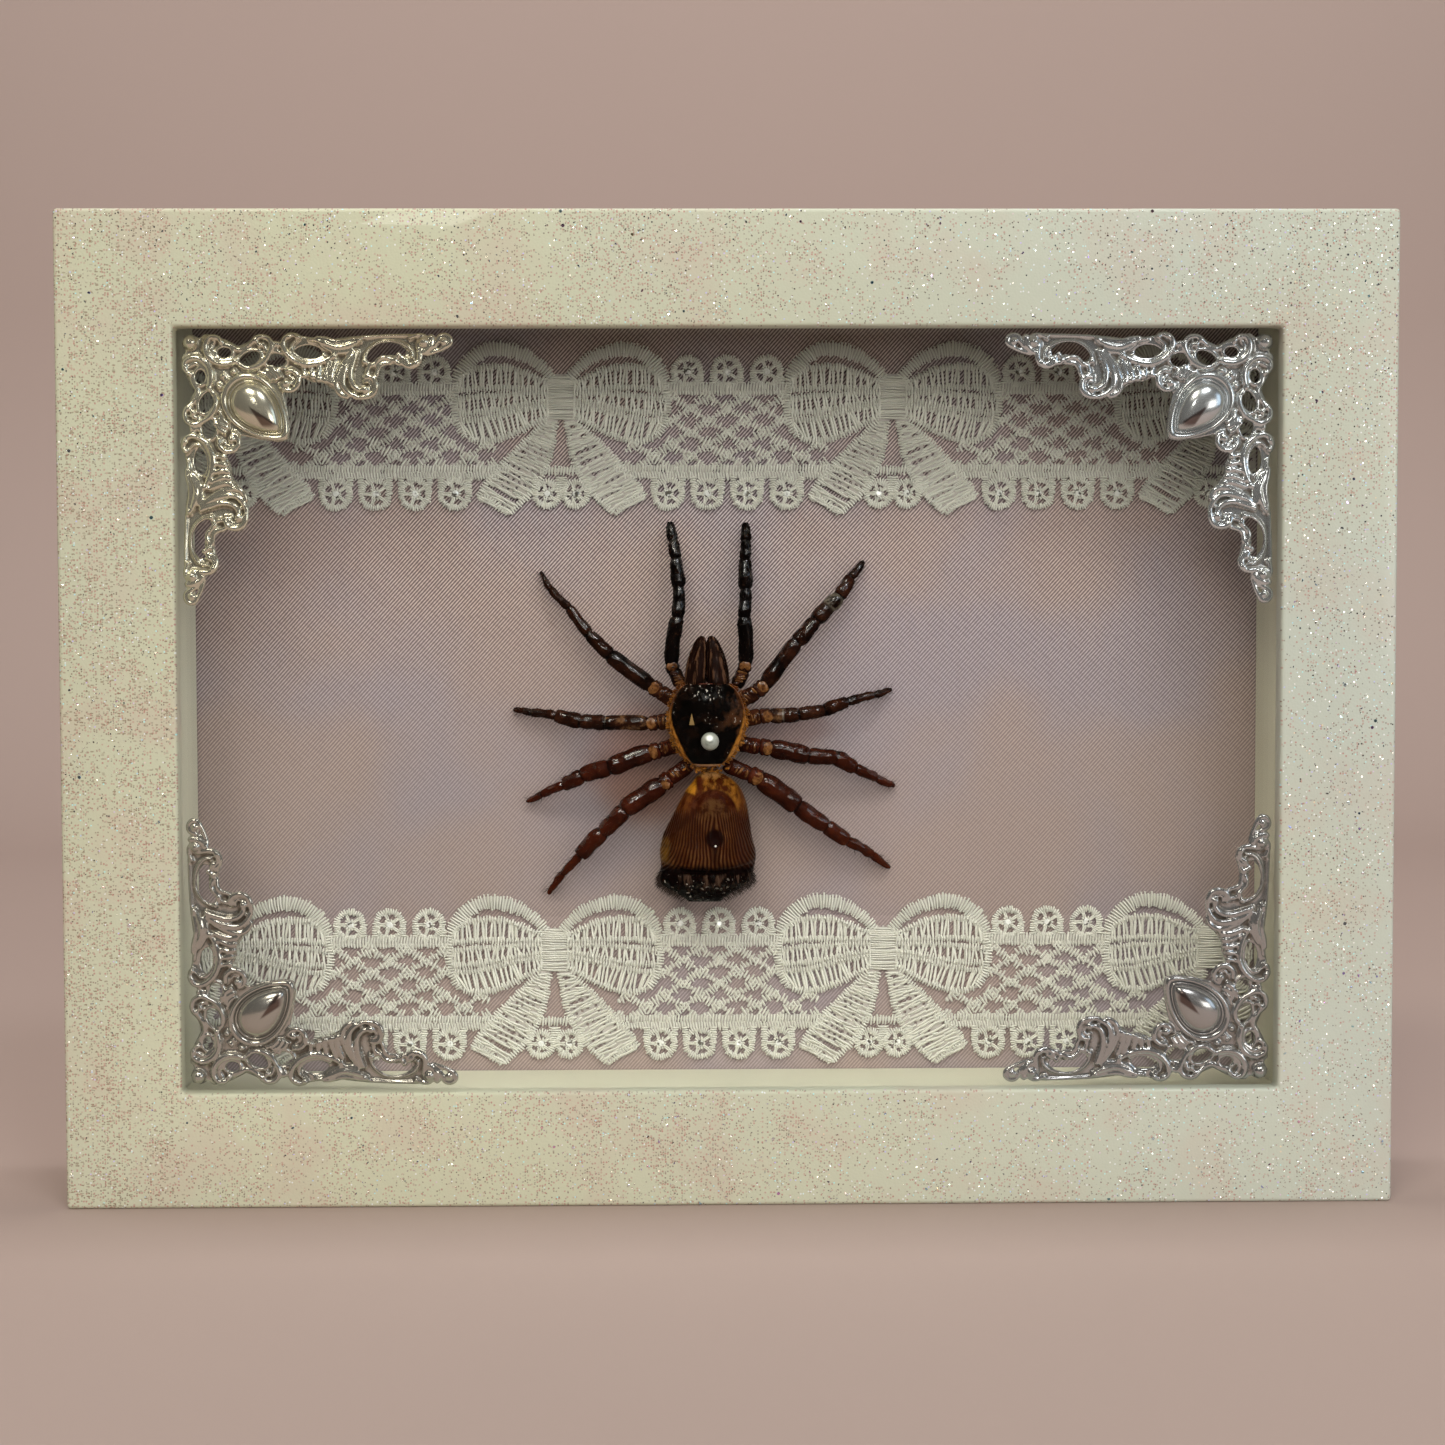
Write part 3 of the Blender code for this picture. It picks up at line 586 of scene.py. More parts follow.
lace = {"pitch": 54.4, "thread": 0.19, "step": 0.47, "web": 23.62, "webThick": 0.16, "cell": 0.45,
        "reach": 87.0, "tall": 28.9, "ring": 6.5, "lowRings": 3.8, "highRings": 23.7, "spokes": 5}
net = {"rise": 1.92, "run": 3.025, "pitch": 3.84, "step": 0.42, "low": 8.3, "high": 20.5, "count": 16}
loopBand = ((1.4, 22.8, 1.5), (3.3, 24.7, 1.8), (5.0, 25.9, 2.0), (7.6, 27.0, 2.3), (10.6, 27.4, 2.4),
            (13.1, 26.8, 2.4), (15.0, 25.4, 2.5), (16.4, 23.7, 2.2), (17.2, 21.9, 1.8))
# Each petal of a loop: its upper and its lower edge
petals = ((((2.2, 21.9), (5, 23.2), (8.5, 24.4), (12, 24.5), (15.0, 23.9), (17.0, 22.2)),
           ((2.2, 20.9), (6, 21.0), (10, 21.1), (14, 21.0), (17.2, 20.6))),
          (((2.2, 20.2), (6, 20.2), (10, 20.0), (14, 19.7), (17.2, 19.2)),
           ((2.2, 18.9), (5, 18.6), (8, 18.0), (11, 17.4), (14, 17.0), (17.0, 16.8))),
          (((2.2, 18.2), (5, 17.8), (8, 17.1), (11, 16.4), (14, 15.9), (16.8, 15.7)),
           ((2.2, 16.5), (4.5, 15.3), (7, 14.0), (9.5, 12.9), (12.5, 12.4), (15.4, 12.9))))
outerEdge = ((17.1, 21.8, 1.5), (17.4, 19.4, 1.3), (17.3, 17.3, 1.3), (16.8, 15.0, 1.3), (15.4, 12.9, 1.1))
tailInner = ((0.9, 15.4), (1.5, 11.8), (2.5, 8.2), (5.0, 4.0), (8.7, 0.5))
tailOuter = ((2.6, 15.4), (6.8, 11.6), (9.6, 8.6), (12.2, 5.6), (13.8, 3.1))
tailEnd = ((8.9, 0.6, 1.0), (10.3, 1.7, 1.0), (12.1, 3.2, 1.0), (13.9, 3.1, 1.0))


def smoothLine(knots, pitch):    # even steps along a smooth line through the knots
    rows = [Vector(knot) for knot in knots]
    rows = [rows[0] * 2 - rows[1], *rows, rows[-1] * 2 - rows[-2]]
    fine = []
    for before, start, end, after in zip(rows, rows[1:], rows[2:], rows[3:]):
        for step in range(12):
            t = step / 12
            fine.append((start * 2 + (end - before) * t
                         + (before * 2 - start * 5 + end * 4 - after) * t * t
                         + (start * 3 - before - end * 3 + after) * t ** 3) * 0.5)
    fine.append(rows[-2])
    gone = [0.0]
    for start, end in zip(fine, fine[1:]):
        gone.append(gone[-1] + (end - start).length)
    count = max(2, round(gone[-1] / pitch) + 1)
    line, near = [], 0
    for step in range(count):
        want = gone[-1] * step / (count - 1)
        while near < len(gone) - 2 and gone[near + 1] < want:
            near += 1
        share = (want - gone[near]) / max(gone[near + 1] - gone[near], 1e-9)
        line.append(fine[near].lerp(fine[near + 1], min(1.0, share)))
    return line


def mirrorLine(knots):
    return tuple((-knot[0], *knot[1:]) for knot in knots)


class Lacework:    # gathers the stitches of one repeat, and the web that lies under them
    def __init__(self):
        self.dice = random.Random(11)
        self.stitches, self.under = [], []

    def stitch(self, start, end, lift, thick=1.0, fray=1.0):
        across = (end - start).normalized()
        start = start - across * self.dice.uniform(-0.16, 0.22) * fray
        end = end + across * self.dice.uniform(-0.16, 0.22) * fray
        thick *= self.dice.uniform(0.82, 1.12)
        middle = (start + end) / 2
        self.stitches.append(((start.x, start.y, 0.02, 0.75 * thick), (middle.x, middle.y, lift, thick),
                              (end.x, end.y, 0.02, 0.75 * thick)))

    def band(self, knots, lift=0.30, slant=0.0, fray=1.0, step=lace["step"]):    # knots: across, up, width
        line = smoothLine(knots, step)
        for here, after in zip(line, line[1:]):
            forward = (after - here).xy.normalized()
            side = Vector((-forward.y, forward.x))
            lean = slant + self.dice.gauss(0, 0.07)
            side = (side + forward * lean) * here.z / 2
            self.stitch(here.xy - side, here.xy + side, lift + self.dice.uniform(-0.09, 0.09), fray=fray)
            self.under.append((here.xy, here.z / 2 * 0.82))

    def between(self, first, second, step, lift=0.16, thick=1.0, halves=False):
        long = max(sum((Vector(b) - Vector(a)).length for a, b in zip(edge, edge[1:]))
                   for edge in (first, second))
        rows = [smoothLine([(*knot, 0) for knot in edge], 0.1) for edge in (first, second)]
        count = max(3, round(long / step))
        for index in range(count + 1):
            shares = [clamp((index + self.dice.gauss(0, 0.3)) / count) for row in rows]
            ends = [row[round(share * (len(row) - 1))].xy for row, share in zip(rows, shares)]
            if halves and (ends[1] - ends[0]).length > 2.2:
                cuts = [0.0, 0.5] if (ends[1] - ends[0]).length < 4.4 else [0.0, 0.33, 0.67]
                cuts = [cut and cut + self.dice.uniform(-0.13, 0.13) for cut in cuts] + [1.0]
                for pair in zip(cuts, cuts[1:]):
                    sway = [Vector((self.dice.gauss(0, 0.13), self.dice.gauss(0, 0.13))) for end in pair]
                    tips = [ends[0].lerp(ends[1], cut) + way for cut, way in zip(pair, sway)]
                    self.stitch(*tips, lift + self.dice.uniform(0.0, 0.14), thick)
            else:
                self.stitch(*ends, lift, thick)
            steps = max(2, int((ends[1] - ends[0]).length / 0.4))
            if halves:
                self.under += [(ends[0].lerp(ends[1], n / steps), 0.32) for n in range(steps + 1)]

    def ring(self, x, z, radius, foot):    # foot: how far its sides run on to the band
        for side in (-1, 1):
            self.band([(x + side * (radius - 0.5), z + foot * 0.1, 0.95),
                       (x + side * (radius - 0.35), z + foot, 1.0)], fray=0.9, step=0.38)
        turns = [tau * step / 24 for step in range(25)]
        self.band([(x + (radius - 0.42) * cos(t), z + (radius - 0.42) * sin(t), 0.9) for t in turns],
                  fray=0.9, step=0.36)
        middle = Vector((x, z))
        for step in range(lace["spokes"]):
            turn = tau * (step + 0.5) / lace["spokes"]
            way = Vector((cos(turn), sin(turn)))
            for shift in (-0.14, 0.14):
                side = Vector((-way.y, way.x)) * shift
                self.stitch(middle + way * 0.65 + side, middle + way * (radius - 0.7) + side, 0.12, 0.85)
            self.under.append((middle + way * 1.3, 0.26))
        self.band([(x + 0.8 * cos(t), z + 0.8 * sin(t), 0.4) for t in turns[::2]], lift=0.14, fray=0.8)


def laceRepeat():
    work = Lacework()
    half = lace["pitch"] / 2
    for flip in (lambda knots: knots, mirrorLine):
        work.band(flip(loopBand), lift=0.42)
        work.band(flip(outerEdge), lift=0.34)
        for upper, lower in petals:
            work.between(flip(upper), flip(lower), 0.72, thick=1.4)
            for edge in (upper, lower):
                work.band([(*knot, 1.0) for knot in flip(edge)], lift=0.40)
        work.between(flip(tailInner), flip(tailOuter), 0.62, thick=1.15, halves=True)
        work.band([(*knot, 0.9) for knot in flip(tailInner)], lift=0.26)
        work.band([(*knot, 0.9) for knot in flip(tailOuter)], lift=0.26)
        work.band(flip(tailEnd), lift=0.26)
        for x, radius in ((2.35, 2.4), (half - 3.25, 2.7), (half - 9.75, 2.7)):
            work.ring(*flip(((x, lace["lowRings"]),))[0], radius, 3.0)
        work.ring(*flip(((half - lace["ring"], lace["highRings"]),))[0], 2.65, -2.2)
        work.band(flip(((17.6, 21.1, 1.7), (half + 0.4, 21.1, 1.7))), slant=0.12)
        work.band(flip(((17.6, 20.3, 0.7), (half + 0.4, 20.3, 0.7))), lift=0.2)
        work.band(flip(((8.6, 7.9, 1.2), (half + 0.4, 7.9, 1.2))), slant=0.12)
        work.band(flip(((10.4, 6.8, 1.2), (half + 0.4, 6.8, 1.2))), slant=-0.2, lift=0.24)
    work.ring(half, lace["highRings"], 2.65, -2.2)
    for row in range(19):    # the knot
        z = 16.2 + row * 0.37
        wide = 2.6 + work.dice.uniform(-0.5, 0.5)
        work.stitch(Vector((-wide, z)), Vector((wide, z + work.dice.uniform(-0.3, 0.3))), 0.5)
        work.under += [(Vector((x, z)), 0.5) for x in (-1.8, -0.9, 0, 0.9, 1.8)]
    work.band(((-3.4, 7.6, 1.3), (3.4, 7.6, 1.3)), slant=0.1)
    for slope in (1, -1):    # the net: two sets of slanting bands
        for number in range(-net["count"], net["count"] + 1):
            runs = [[]]
            for step in range(int(2 * half / net["step"]) + 3):    # a little into the next repeat
                x = -half + step * net["step"]
                z = 10.0 + slope * net["rise"] / net["run"] * (x + half) + net["pitch"] * number
                if net["low"] < z < net["high"] and abs(x) > (17.0 if z > 12.5 else 10.3):
                    runs[-1].append((x, z, 1.05))
                else:
                    runs.append([])
            for spots in runs:
                if len(spots) > 1:
                    work.band(spots, lift=0.2, fray=2.8, step=0.56)
    return work


def layLace(name, node, shift, foot, work, thread, gauze, stone):
    def local(x):
        return (x - shift + lace["pitch"] / 2) % lace["pitch"] - lace["pitch"] / 2

    tree = kdtree.KDTree(len(work.under) * 3)
    widths = []
    for turn in (-1, 0, 1):
        for spot, wide in work.under:
            tree.insert((spot.x + turn * lace["pitch"], spot.y, 0), len(widths))
            widths.append(wide)
    tree.balance()
    cell, reach = lace["cell"], lace["reach"]
    columns, rows = round(2 * reach / cell), round(lace["tall"] / cell)
    bm = bmesh.new()
    bmesh.ops.create_grid(bm, x_segments=columns, y_segments=rows, size=0.5,
                          matrix=Matrix.Translation((0, lace["tall"] / 2, 0))
                          @ Matrix.Diagonal((2 * reach, lace["tall"], 1, 1)))
    bare = [face for face in bm.faces
            if not any(gap < widths[index] for spot, index, gap in tree.find_range(
                (local(face.calc_center_median().x), face.calc_center_median().y, 0), 1.3))]
    bmesh.ops.delete(bm, geom=bare, context="FACES")
    kept = len(bm.faces) * (2 * reach / columns) * (lace["tall"] / rows) * mm * mm
    for turn in range(2):
        edge = [vert for vert in bm.verts if vert.is_boundary and abs(vert.co.x) < reach - 0.1]
        bmesh.ops.smooth_vert(bm, verts=edge, factor=0.5, use_axis_x=True, use_axis_y=True)
    for vert in bm.verts:
        vert.co = at(vert.co.x, foot + vert.co.y, lace["web"])
    for vert in backed(bm):
        vert.co.y += lace["webThick"] * mm
    web = piece(name, bm, gauze, (node,), smooth=40)
    bows, nets = [], []
    middles = [shift + turn * lace["pitch"] for turn in (-2, -1, 0, 1, 2)]
    for middle in middles:
        for stitch in work.stitches:
            if abs(middle + stitch[1][0]) < reach - 0.15:
                strand = [(at(max(-reach, min(reach, middle + x)), foot + z,
                              lace["web"] - 0.05 - lift), share) for x, z, lift, share in stitch]
                (bows if abs(stitch[1][0]) < 17.0 else nets).append(strand)
    for title, strands in ((name + "Bows", bows), (name + "Net", nets)):
        piece(title, threads(title, strands, lace["thread"] * mm), thread, smooth=70)
    half, places = lace["pitch"] / 2, []
    rings = [(side * 2.35, lace["lowRings"]) for side in (-1, 1)] \
        + [(half + side * lace["ring"], lace["lowRings"]) for side in (-1.5, -0.5, 0.5, 1.5)] \
        + [(half + side * lace["ring"], lace["highRings"]) for side in (-1, 0, 1)]
    for middle in middles:
        for x, z in rings:
            if abs(middle + x) < reach - 1.5:
                turn = Euler((radians(90 + work.dice.uniform(-14, 14)), work.dice.uniform(0, tau), 0))
                places.append(Matrix.Translation(at(middle + x, foot + z, lace["web"] - 0.2))
                              @ turn.to_matrix().to_4x4())
    gem = bmesh.new()
    bmesh.ops.create_cone(gem, cap_ends=True, segments=10, radius1=0.70 * mm, radius2=0.34 * mm,
                          depth=0.36 * mm)
    rim = [edge for edge in gem.edges if all(vert.co.z < 0 for vert in edge.verts)]
    bmesh.ops.bevel(gem, geom=rim, offset=0.08 * mm, segments=1, profile=0.5, affect="EDGES", material=-1)
    piece(name + "Stones", copies(name + "Stones", gem, places), stone, smooth=0)
    gem.free()
    return len(bows), len(nets), kept


thread = mottled("whiteThread", (60.0, 2.0), (0.60, 0.585, 0.515), (0.69, 0.675, 0.60),
                 ((3800.0, 2.0), 0.00003, 0.5), roughness=0.72, sheenWeight=0.15, sheenRoughness=0.4)
# the web's colour, darker than the thread, is painted shade in the gaps between stitches
gauze = mottled("gauzeGround", (300.0, 2.0), (0.42, 0.38, 0.35), (0.56, 0.52, 0.47), roughness=0.85)
# the clear stone: clouds of near-white and near-black as painted glints and dark reflections
stone = Finish("clearStone", metallic=0.2, roughness=0.12, coatWeight=1.0, coatRoughness=0.05)
stone.say(baseColor=stone.mix(stone.clouds(1100.0, 1.0).step(0.38, 0.5), (0.13, 0.12, 0.10),
                              (0.90, 0.90, 0.86)))
work = laceRepeat()
for name, node, shift, foot in (("laceTop", "lace_top", 27.15, 31.1),
                                ("laceBottom", "lace_bottom", 25.6, -59.7)):
    print("lace", layLace(name, node, shift, foot, work, thread, gauze, stone))

# Corner castings: scrolls, beads and an acanthus leaf on a pierced plate, with a polished drop.
# Millimetres along and across from the corner of the opening, and height over the back

casting = {"cornerX": 85.5, "cornerZ": 59.25, "back": 4.1, "plate": 0.72, "voxel": 0.17, "dropAt": 12.46,
           "dropLong": 12.75, "dropBlunt": 1.7, "dropSpread": 3.42, "dropHigh": 2.76}
armOutline = ((1.1, 1.1), (2.4, 0.8), (3.5, 1.4), (4.3, 0.7), (5.5, 0.8), (7.4, 1.5), (9.5, 2.6), (10.9, 2.0),
              (12.1, 1.1), (13.3, 0.9), (14.5, 1.5), (15.4, 2.7), (16.2, 1.7), (17.4, 0.9), (18.8, 0.9),
              (20.4, 1.2), (21.8, 1.3), (24.0, 1.5), (26.8, 1.15), (29.6, 0.9), (33.3, 0.75), (36.4, 0.7),
              (37.9, 1.0), (37.9, 4.2), (37.4, 5.8), (36.2, 6.1), (34.0, 5.6), (32.2, 5.2), (31.2, 6.0),
              (30.9, 8.2), (30.4, 10.0), (28.9, 10.8), (27.2, 10.5), (25.6, 10.7), (24.2, 9.4), (22.6, 8.3),
              (21.0, 8.2), (19.2, 7.4), (18.5, 8.8), (17.4, 9.6), (16.3, 9.5), (17.0, 12.5), (17.4, 15.6),
              (17.0, 17.0))


def oval(a, b, wide, tall, tilt=0.0, start=0.0, stop=360.0, count=16):
    spots = []
    for step in range(count + 1):
        turn, lean = radians(start + (stop - start) * step / count), radians(tilt)
        x, y = wide * cos(turn), tall * sin(turn)
        spots.append((a + x * cos(lean) - y * sin(lean), b + x * sin(lean) + y * cos(lean)))
    return spots


crescent = ((29.5, 4.9), (29.3, 3.9), (30.0, 2.9), (31.4, 2.2), (32.9, 2.0), (34.4, 2.4), (35.4, 3.2),
            (35.3, 4.2), (34.2, 4.1), (33.0, 3.9), (32.0, 4.3), (31.0, 4.9), (30.3, 5.5))
pierced = (oval(7.4, 3.65, 1.1, 0.8, count=12)[:-1], oval(11.3, 4.6, 1.75, 1.05, -25, count=14)[:-1],
           oval(15.35, 4.9, 1.5, 1.05, count=14)[:-1], oval(20.3, 3.7, 2.15, 1.2, count=14)[:-1], crescent)
# Each strand: its knots, each with its height and radius
strands = [
    [(7.0, 1.9, 0.9, 0.38), (6.2, 1.3, 1.0, 0.42), (5.2, 1.3, 1.0, 0.45), (4.55, 2.3, 1.0, 0.48),
     (4.6, 3.6, 1.0, 0.5), (5.5, 4.8, 1.0, 0.5), (6.9, 5.4, 1.0, 0.5), (8.3, 5.3, 1.0, 0.45),
     (9.1, 5.0, 0.9, 0.4)],
    [(5.9, 1.9, 0.9, 0.22), (5.4, 2.7, 0.95, 0.25), (5.6, 3.7, 0.95, 0.25), (6.4, 4.5, 0.95, 0.25),
     (7.5, 4.85, 0.95, 0.25), (8.6, 4.7, 0.9, 0.22)],
    [(6.9, 2.2, 0.7, 0.35), (8.3, 2.5, 0.75, 0.38), (9.5, 3.2, 0.75, 0.38), (10.6, 2.9, 0.8, 0.38),
     (11.6, 2.2, 0.85, 0.38)],
    [(11.6, 2.4, 0.95, 0.38), (12.2, 1.5, 1.0, 0.42), (13.3, 1.2, 1.05, 0.45), (14.3, 1.6, 1.05, 0.45),
     (14.75, 2.7, 1.05, 0.45), (14.3, 3.9, 1.0, 0.42), (13.7, 4.9, 1.0, 0.42), (12.7, 5.7, 1.0, 0.45),
     (11.3, 6.1, 0.95, 0.42), (10.1, 5.8, 0.9, 0.38), (9.5, 5.2, 0.9, 0.35)],
    [(13.6, 3.6, 0.9, 0.25), (13.7, 2.7, 1.0, 0.28), (13.2, 2.2, 1.0, 0.3)],
    *[[(*spot, 0.85, 0.26) for spot in ring] for ring in (
        oval(7.4, 3.65, 1.3, 1.0), oval(11.3, 4.6, 1.95, 1.25, -25), oval(15.35, 4.9, 1.75, 1.3))],
    [(18.9, 1.05, 0.9, 0.38), (17.6, 0.95, 1.0, 0.45), (16.6, 1.8, 1.05, 0.48), (16.7, 3.2, 1.05, 0.5),
     (17.9, 4.7, 1.05, 0.5), (19.8, 5.5, 1.05, 0.5), (21.9, 5.3, 1.0, 0.45), (23.6, 4.6, 0.95, 0.4),
     (24.6, 3.9, 0.9, 0.35)],
    [(18.6, 1.8, 0.95, 0.25), (17.8, 2.6, 0.95, 0.28), (18.1, 3.7, 0.95, 0.28), (19.4, 4.6, 0.95, 0.28),
     (21.2, 4.8, 0.95, 0.28), (22.8, 4.2, 0.9, 0.25)],
    [(15.4, 3.4, 0.85, 0.35), (15.6, 2.6, 0.9, 0.35), (16.4, 2.3, 0.9, 0.35)],
    [(27.8, 1.5, 0.9, 0.35), (26.1, 1.85, 1.0, 0.4), (24.6, 1.95, 1.05, 0.4), (23.2, 1.55, 1.0, 0.36),
     (21.5, 1.3, 0.9, 0.3)],
    [(28.0, 2.1, 0.95, 0.38), (26.3, 2.7, 1.1, 0.45), (24.7, 2.85, 1.1, 0.42), (23.2, 2.3, 1.05, 0.38),
     (21.7, 1.8, 0.9, 0.32), (20.3, 1.6, 0.9, 0.3)],
    [(27.3, 3.1, 0.9, 0.35), (25.9, 3.6, 1.0, 0.36), (24.6, 3.6, 1.0, 0.34), (23.2, 3.0, 0.95, 0.3),
     (22.2, 2.4, 0.9, 0.26)],
    [(6.9, 7.5, 0.9, 0.3), (7.5, 6.9, 0.9, 0.3)], [(7.5, 8.1, 0.9, 0.28), (8.1, 7.5, 0.9, 0.28)],
    [(12.6, 6.6, 0.9, 0.28), (13.9, 7.1, 0.95, 0.3), (14.7, 8.0, 0.95, 0.3)],
    [(13.5, 6.3, 0.9, 0.28), (14.7, 6.8, 1.0, 0.32), (15.4, 8.0, 1.0, 0.32)],
    [(14.4, 6.2, 0.9, 0.3), (15.5, 6.6, 1.0, 0.36), (16.1, 7.6, 1.0, 0.36)],
    [(16.7, 6.5, 0.95, 0.36), (17.9, 6.5, 1.05, 0.42), (18.8, 7.3, 1.1, 0.45), (18.8, 8.6, 1.1, 0.45),
     (17.8, 9.5, 1.05, 0.42), (16.5, 9.3, 1.0, 0.4), (16.1, 8.3, 1.0, 0.36)],
    [(17.3, 7.2, 0.9, 0.22), (18.0, 7.8, 0.95, 0.24), (17.9, 8.7, 0.95, 0.24)],
    [(19.6, 5.9, 0.9, 0.36), (19.8, 7.0, 1.05, 0.4)], [(20.8, 6.0, 0.9, 0.4), (20.9, 7.2, 1.1, 0.44)],
    [(22.2, 5.6, 0.9, 0.4), (21.9, 6.7, 1.1, 0.45), (21.9, 7.5, 1.1, 0.45)],
    [(23.7, 5.1, 0.9, 0.4), (23.0, 6.8, 1.1, 0.45), (22.9, 7.7, 1.1, 0.48)],
    [(24.7, 4.8, 0.9, 0.4), (23.9, 7.0, 1.1, 0.45), (23.9, 8.1, 1.1, 0.48)],
    [(26.6, 4.1, 0.9, 0.35), (25.5, 5.8, 1.0, 0.42), (24.8, 7.8, 1.1, 0.48), (24.7, 9.2, 1.1, 0.48),
     (25.4, 10.2, 1.1, 0.45), (26.6, 10.6, 1.0, 0.4)],
    [(27.4, 3.5, 0.9, 0.35), (26.5, 5.0, 1.05, 0.42), (25.8, 7.2, 1.15, 0.48), (25.8, 8.9, 1.15, 0.48),
     (26.6, 9.9, 1.15, 0.45), (27.7, 10.5, 1.1, 0.4)],
    [(28.0, 3.3, 0.95, 0.38), (27.4, 5.0, 1.05, 0.42), (26.9, 6.9, 1.15, 0.46), (27.1, 8.4, 1.15, 0.48),
     (27.9, 9.3, 1.15, 0.48), (28.9, 9.5, 1.1, 0.42)],
    [(28.9, 7.6, 0.95, 0.4), (29.9, 7.4, 1.1, 0.45), (30.6, 8.0, 1.15, 0.48), (30.8, 9.0, 1.15, 0.5),
     (30.4, 10.0, 1.15, 0.5), (29.5, 10.5, 1.15, 0.48), (28.4, 10.6, 1.1, 0.42), (27.4, 10.6, 1.0, 0.38)],
    [(28.9, 8.3, 1.0, 0.26), (29.6, 8.1, 1.1, 0.28), (30.0, 8.7, 1.1, 0.28), (29.7, 9.4, 1.1, 0.28)],
    [(30.1, 5.2, 0.9, 0.36), (29.6, 6.2, 0.95, 0.36), (29.4, 7.3, 0.95, 0.36)],
    [(35.4, 5.1, 0.95, 0.4), (36.2, 5.6, 1.05, 0.45), (37.1, 5.5, 1.05, 0.48), (37.6, 4.6, 1.05, 0.48),
     (37.5, 3.4, 1.0, 0.42), (37.3, 2.3, 0.85, 0.35), (37.6, 1.4, 0.8, 0.3)],
    [(26.0, 1.6, 0.8, 0.25), (28.6, 1.3, 0.8, 0.28), (31.0, 1.15, 0.78, 0.28), (33.6, 1.05, 0.78, 0.28),
     (36.2, 1.0, 0.8, 0.28), (37.6, 1.2, 0.85, 0.28)],
    [(36.4, 4.6, 0.95, 0.28), (36.4, 3.6, 0.95, 0.26), (35.6, 2.7, 0.9, 0.24), (34.3, 2.1, 0.85, 0.22),
     (32.9, 1.9, 0.85, 0.22), (31.4, 2.1, 0.85, 0.22), (30.1, 2.9, 0.9, 0.24), (29.3, 3.9, 0.95, 0.28),
     (29.0, 5.0, 1.0, 0.32)],
    [(36.9, 5.8, 1.0, 0.38), (35.9, 5.9, 1.0, 0.4), (35.0, 5.4, 1.0, 0.4), (34.8, 4.7, 1.0, 0.36),
     (35.2, 4.3, 0.95, 0.34)],
    [(34.3, 4.1, 0.95, 0.38), (33.8, 4.7, 1.0, 0.42), (34.0, 5.3, 0.95, 0.38), (34.8, 5.4, 0.9, 0.36)],
    [(33.5, 5.0, 0.9, 0.36), (32.6, 4.5, 1.0, 0.4), (31.6, 4.5, 1.0, 0.4), (30.8, 5.2, 0.95, 0.38),
     (30.3, 5.8, 0.9, 0.36)],
    [(33.3, 5.3, 0.85, 0.36), (31.9, 5.4, 0.9, 0.38), (31.2, 6.1, 0.95, 0.38), (30.9, 7.1, 1.0, 0.38),
     (30.4, 7.8, 1.0, 0.36)],
    [(35.9, 1.5, 0.95, 0.3), (36.9, 1.1, 1.0, 0.36), (38.0, 1.0, 1.0, 0.38), (38.8, 1.5, 1.0, 0.36)],
    [(37.5, 2.9, 0.85, 0.4), (38.4, 3.5, 1.0, 0.42), (39.2, 2.7, 1.1, 0.46), (39.5, 1.5, 1.05, 0.42)],
    [(38.5, 4.0, 0.85, 0.3), (39.8, 3.6, 0.9, 0.36), (41.2, 3.0, 0.95, 0.4), (42.2, 2.4, 1.0, 0.44),
     (42.3, 1.5, 1.0, 0.44), (41.5, 0.95, 1.0, 0.4), (40.6, 1.2, 1.0, 0.4), (40.2, 2.2, 1.0, 0.4),
     (39.4, 3.2, 0.9, 0.36)],
]
# Each bead: its place, its height and its radius
beads = ((6.0, 1.3, 1.05, 0.5), (6.9, 2.0, 1.0, 0.45), (9.1, 5.0, 1.0, 0.5), (8.9, 6.6, 0.95, 0.5),
         (12.2, 1.8, 1.05, 0.52), (12.9, 2.5, 1.05, 0.48), (10.0, 5.6, 0.95, 0.42), (14.7, 5.9, 0.95, 0.42),
         (17.4, 1.2, 1.1, 0.55), (18.8, 1.3, 1.1, 0.5), (15.4, 2.3, 0.95, 0.5), (17.0, 8.4, 1.1, 0.62),
         (19.8, 7.2, 1.1, 0.5), (21.0, 7.4, 1.15, 0.5), (22.0, 7.8, 1.15, 0.55), (23.0, 8.0, 1.15, 0.55),
         (24.0, 8.3, 1.15, 0.55), (24.4, 4.2, 1.0, 0.5), (28.2, 1.7, 1.0, 0.5), (29.1, 9.4, 1.25, 0.62),
         (35.4, 4.8, 1.05, 0.5), (29.1, 5.1, 1.05, 0.5), (34.3, 4.0, 1.0, 0.45), (30.3, 5.6, 1.0, 0.45),
         (37.0, 5.4, 1.1, 0.62), (38.2, 2.1, 1.15, 0.75), (41.3, 2.0, 1.1, 0.6), (38.3, 3.6, 1.0, 0.5),
         (39.4, 1.3, 1.0, 0.5))


def dropRings():    # share of the outline, and height: two bezel rims and the dome
    rims = []
    for middle, wide, low, tall in ((0.905, 0.095, 0.85, 0.6), (0.77, 0.035, 1.0, 0.3)):
        rims += [(middle + wide * cos(radians(turn)), low + tall * sin(radians(turn)))
                 for turn in range(0, 181, 30)]
    return rims + [(0.725 * cos(radians(turn)), 0.95 + 1.8 * sin(radians(turn)))
                   for turn in range(8, 90, 9)]


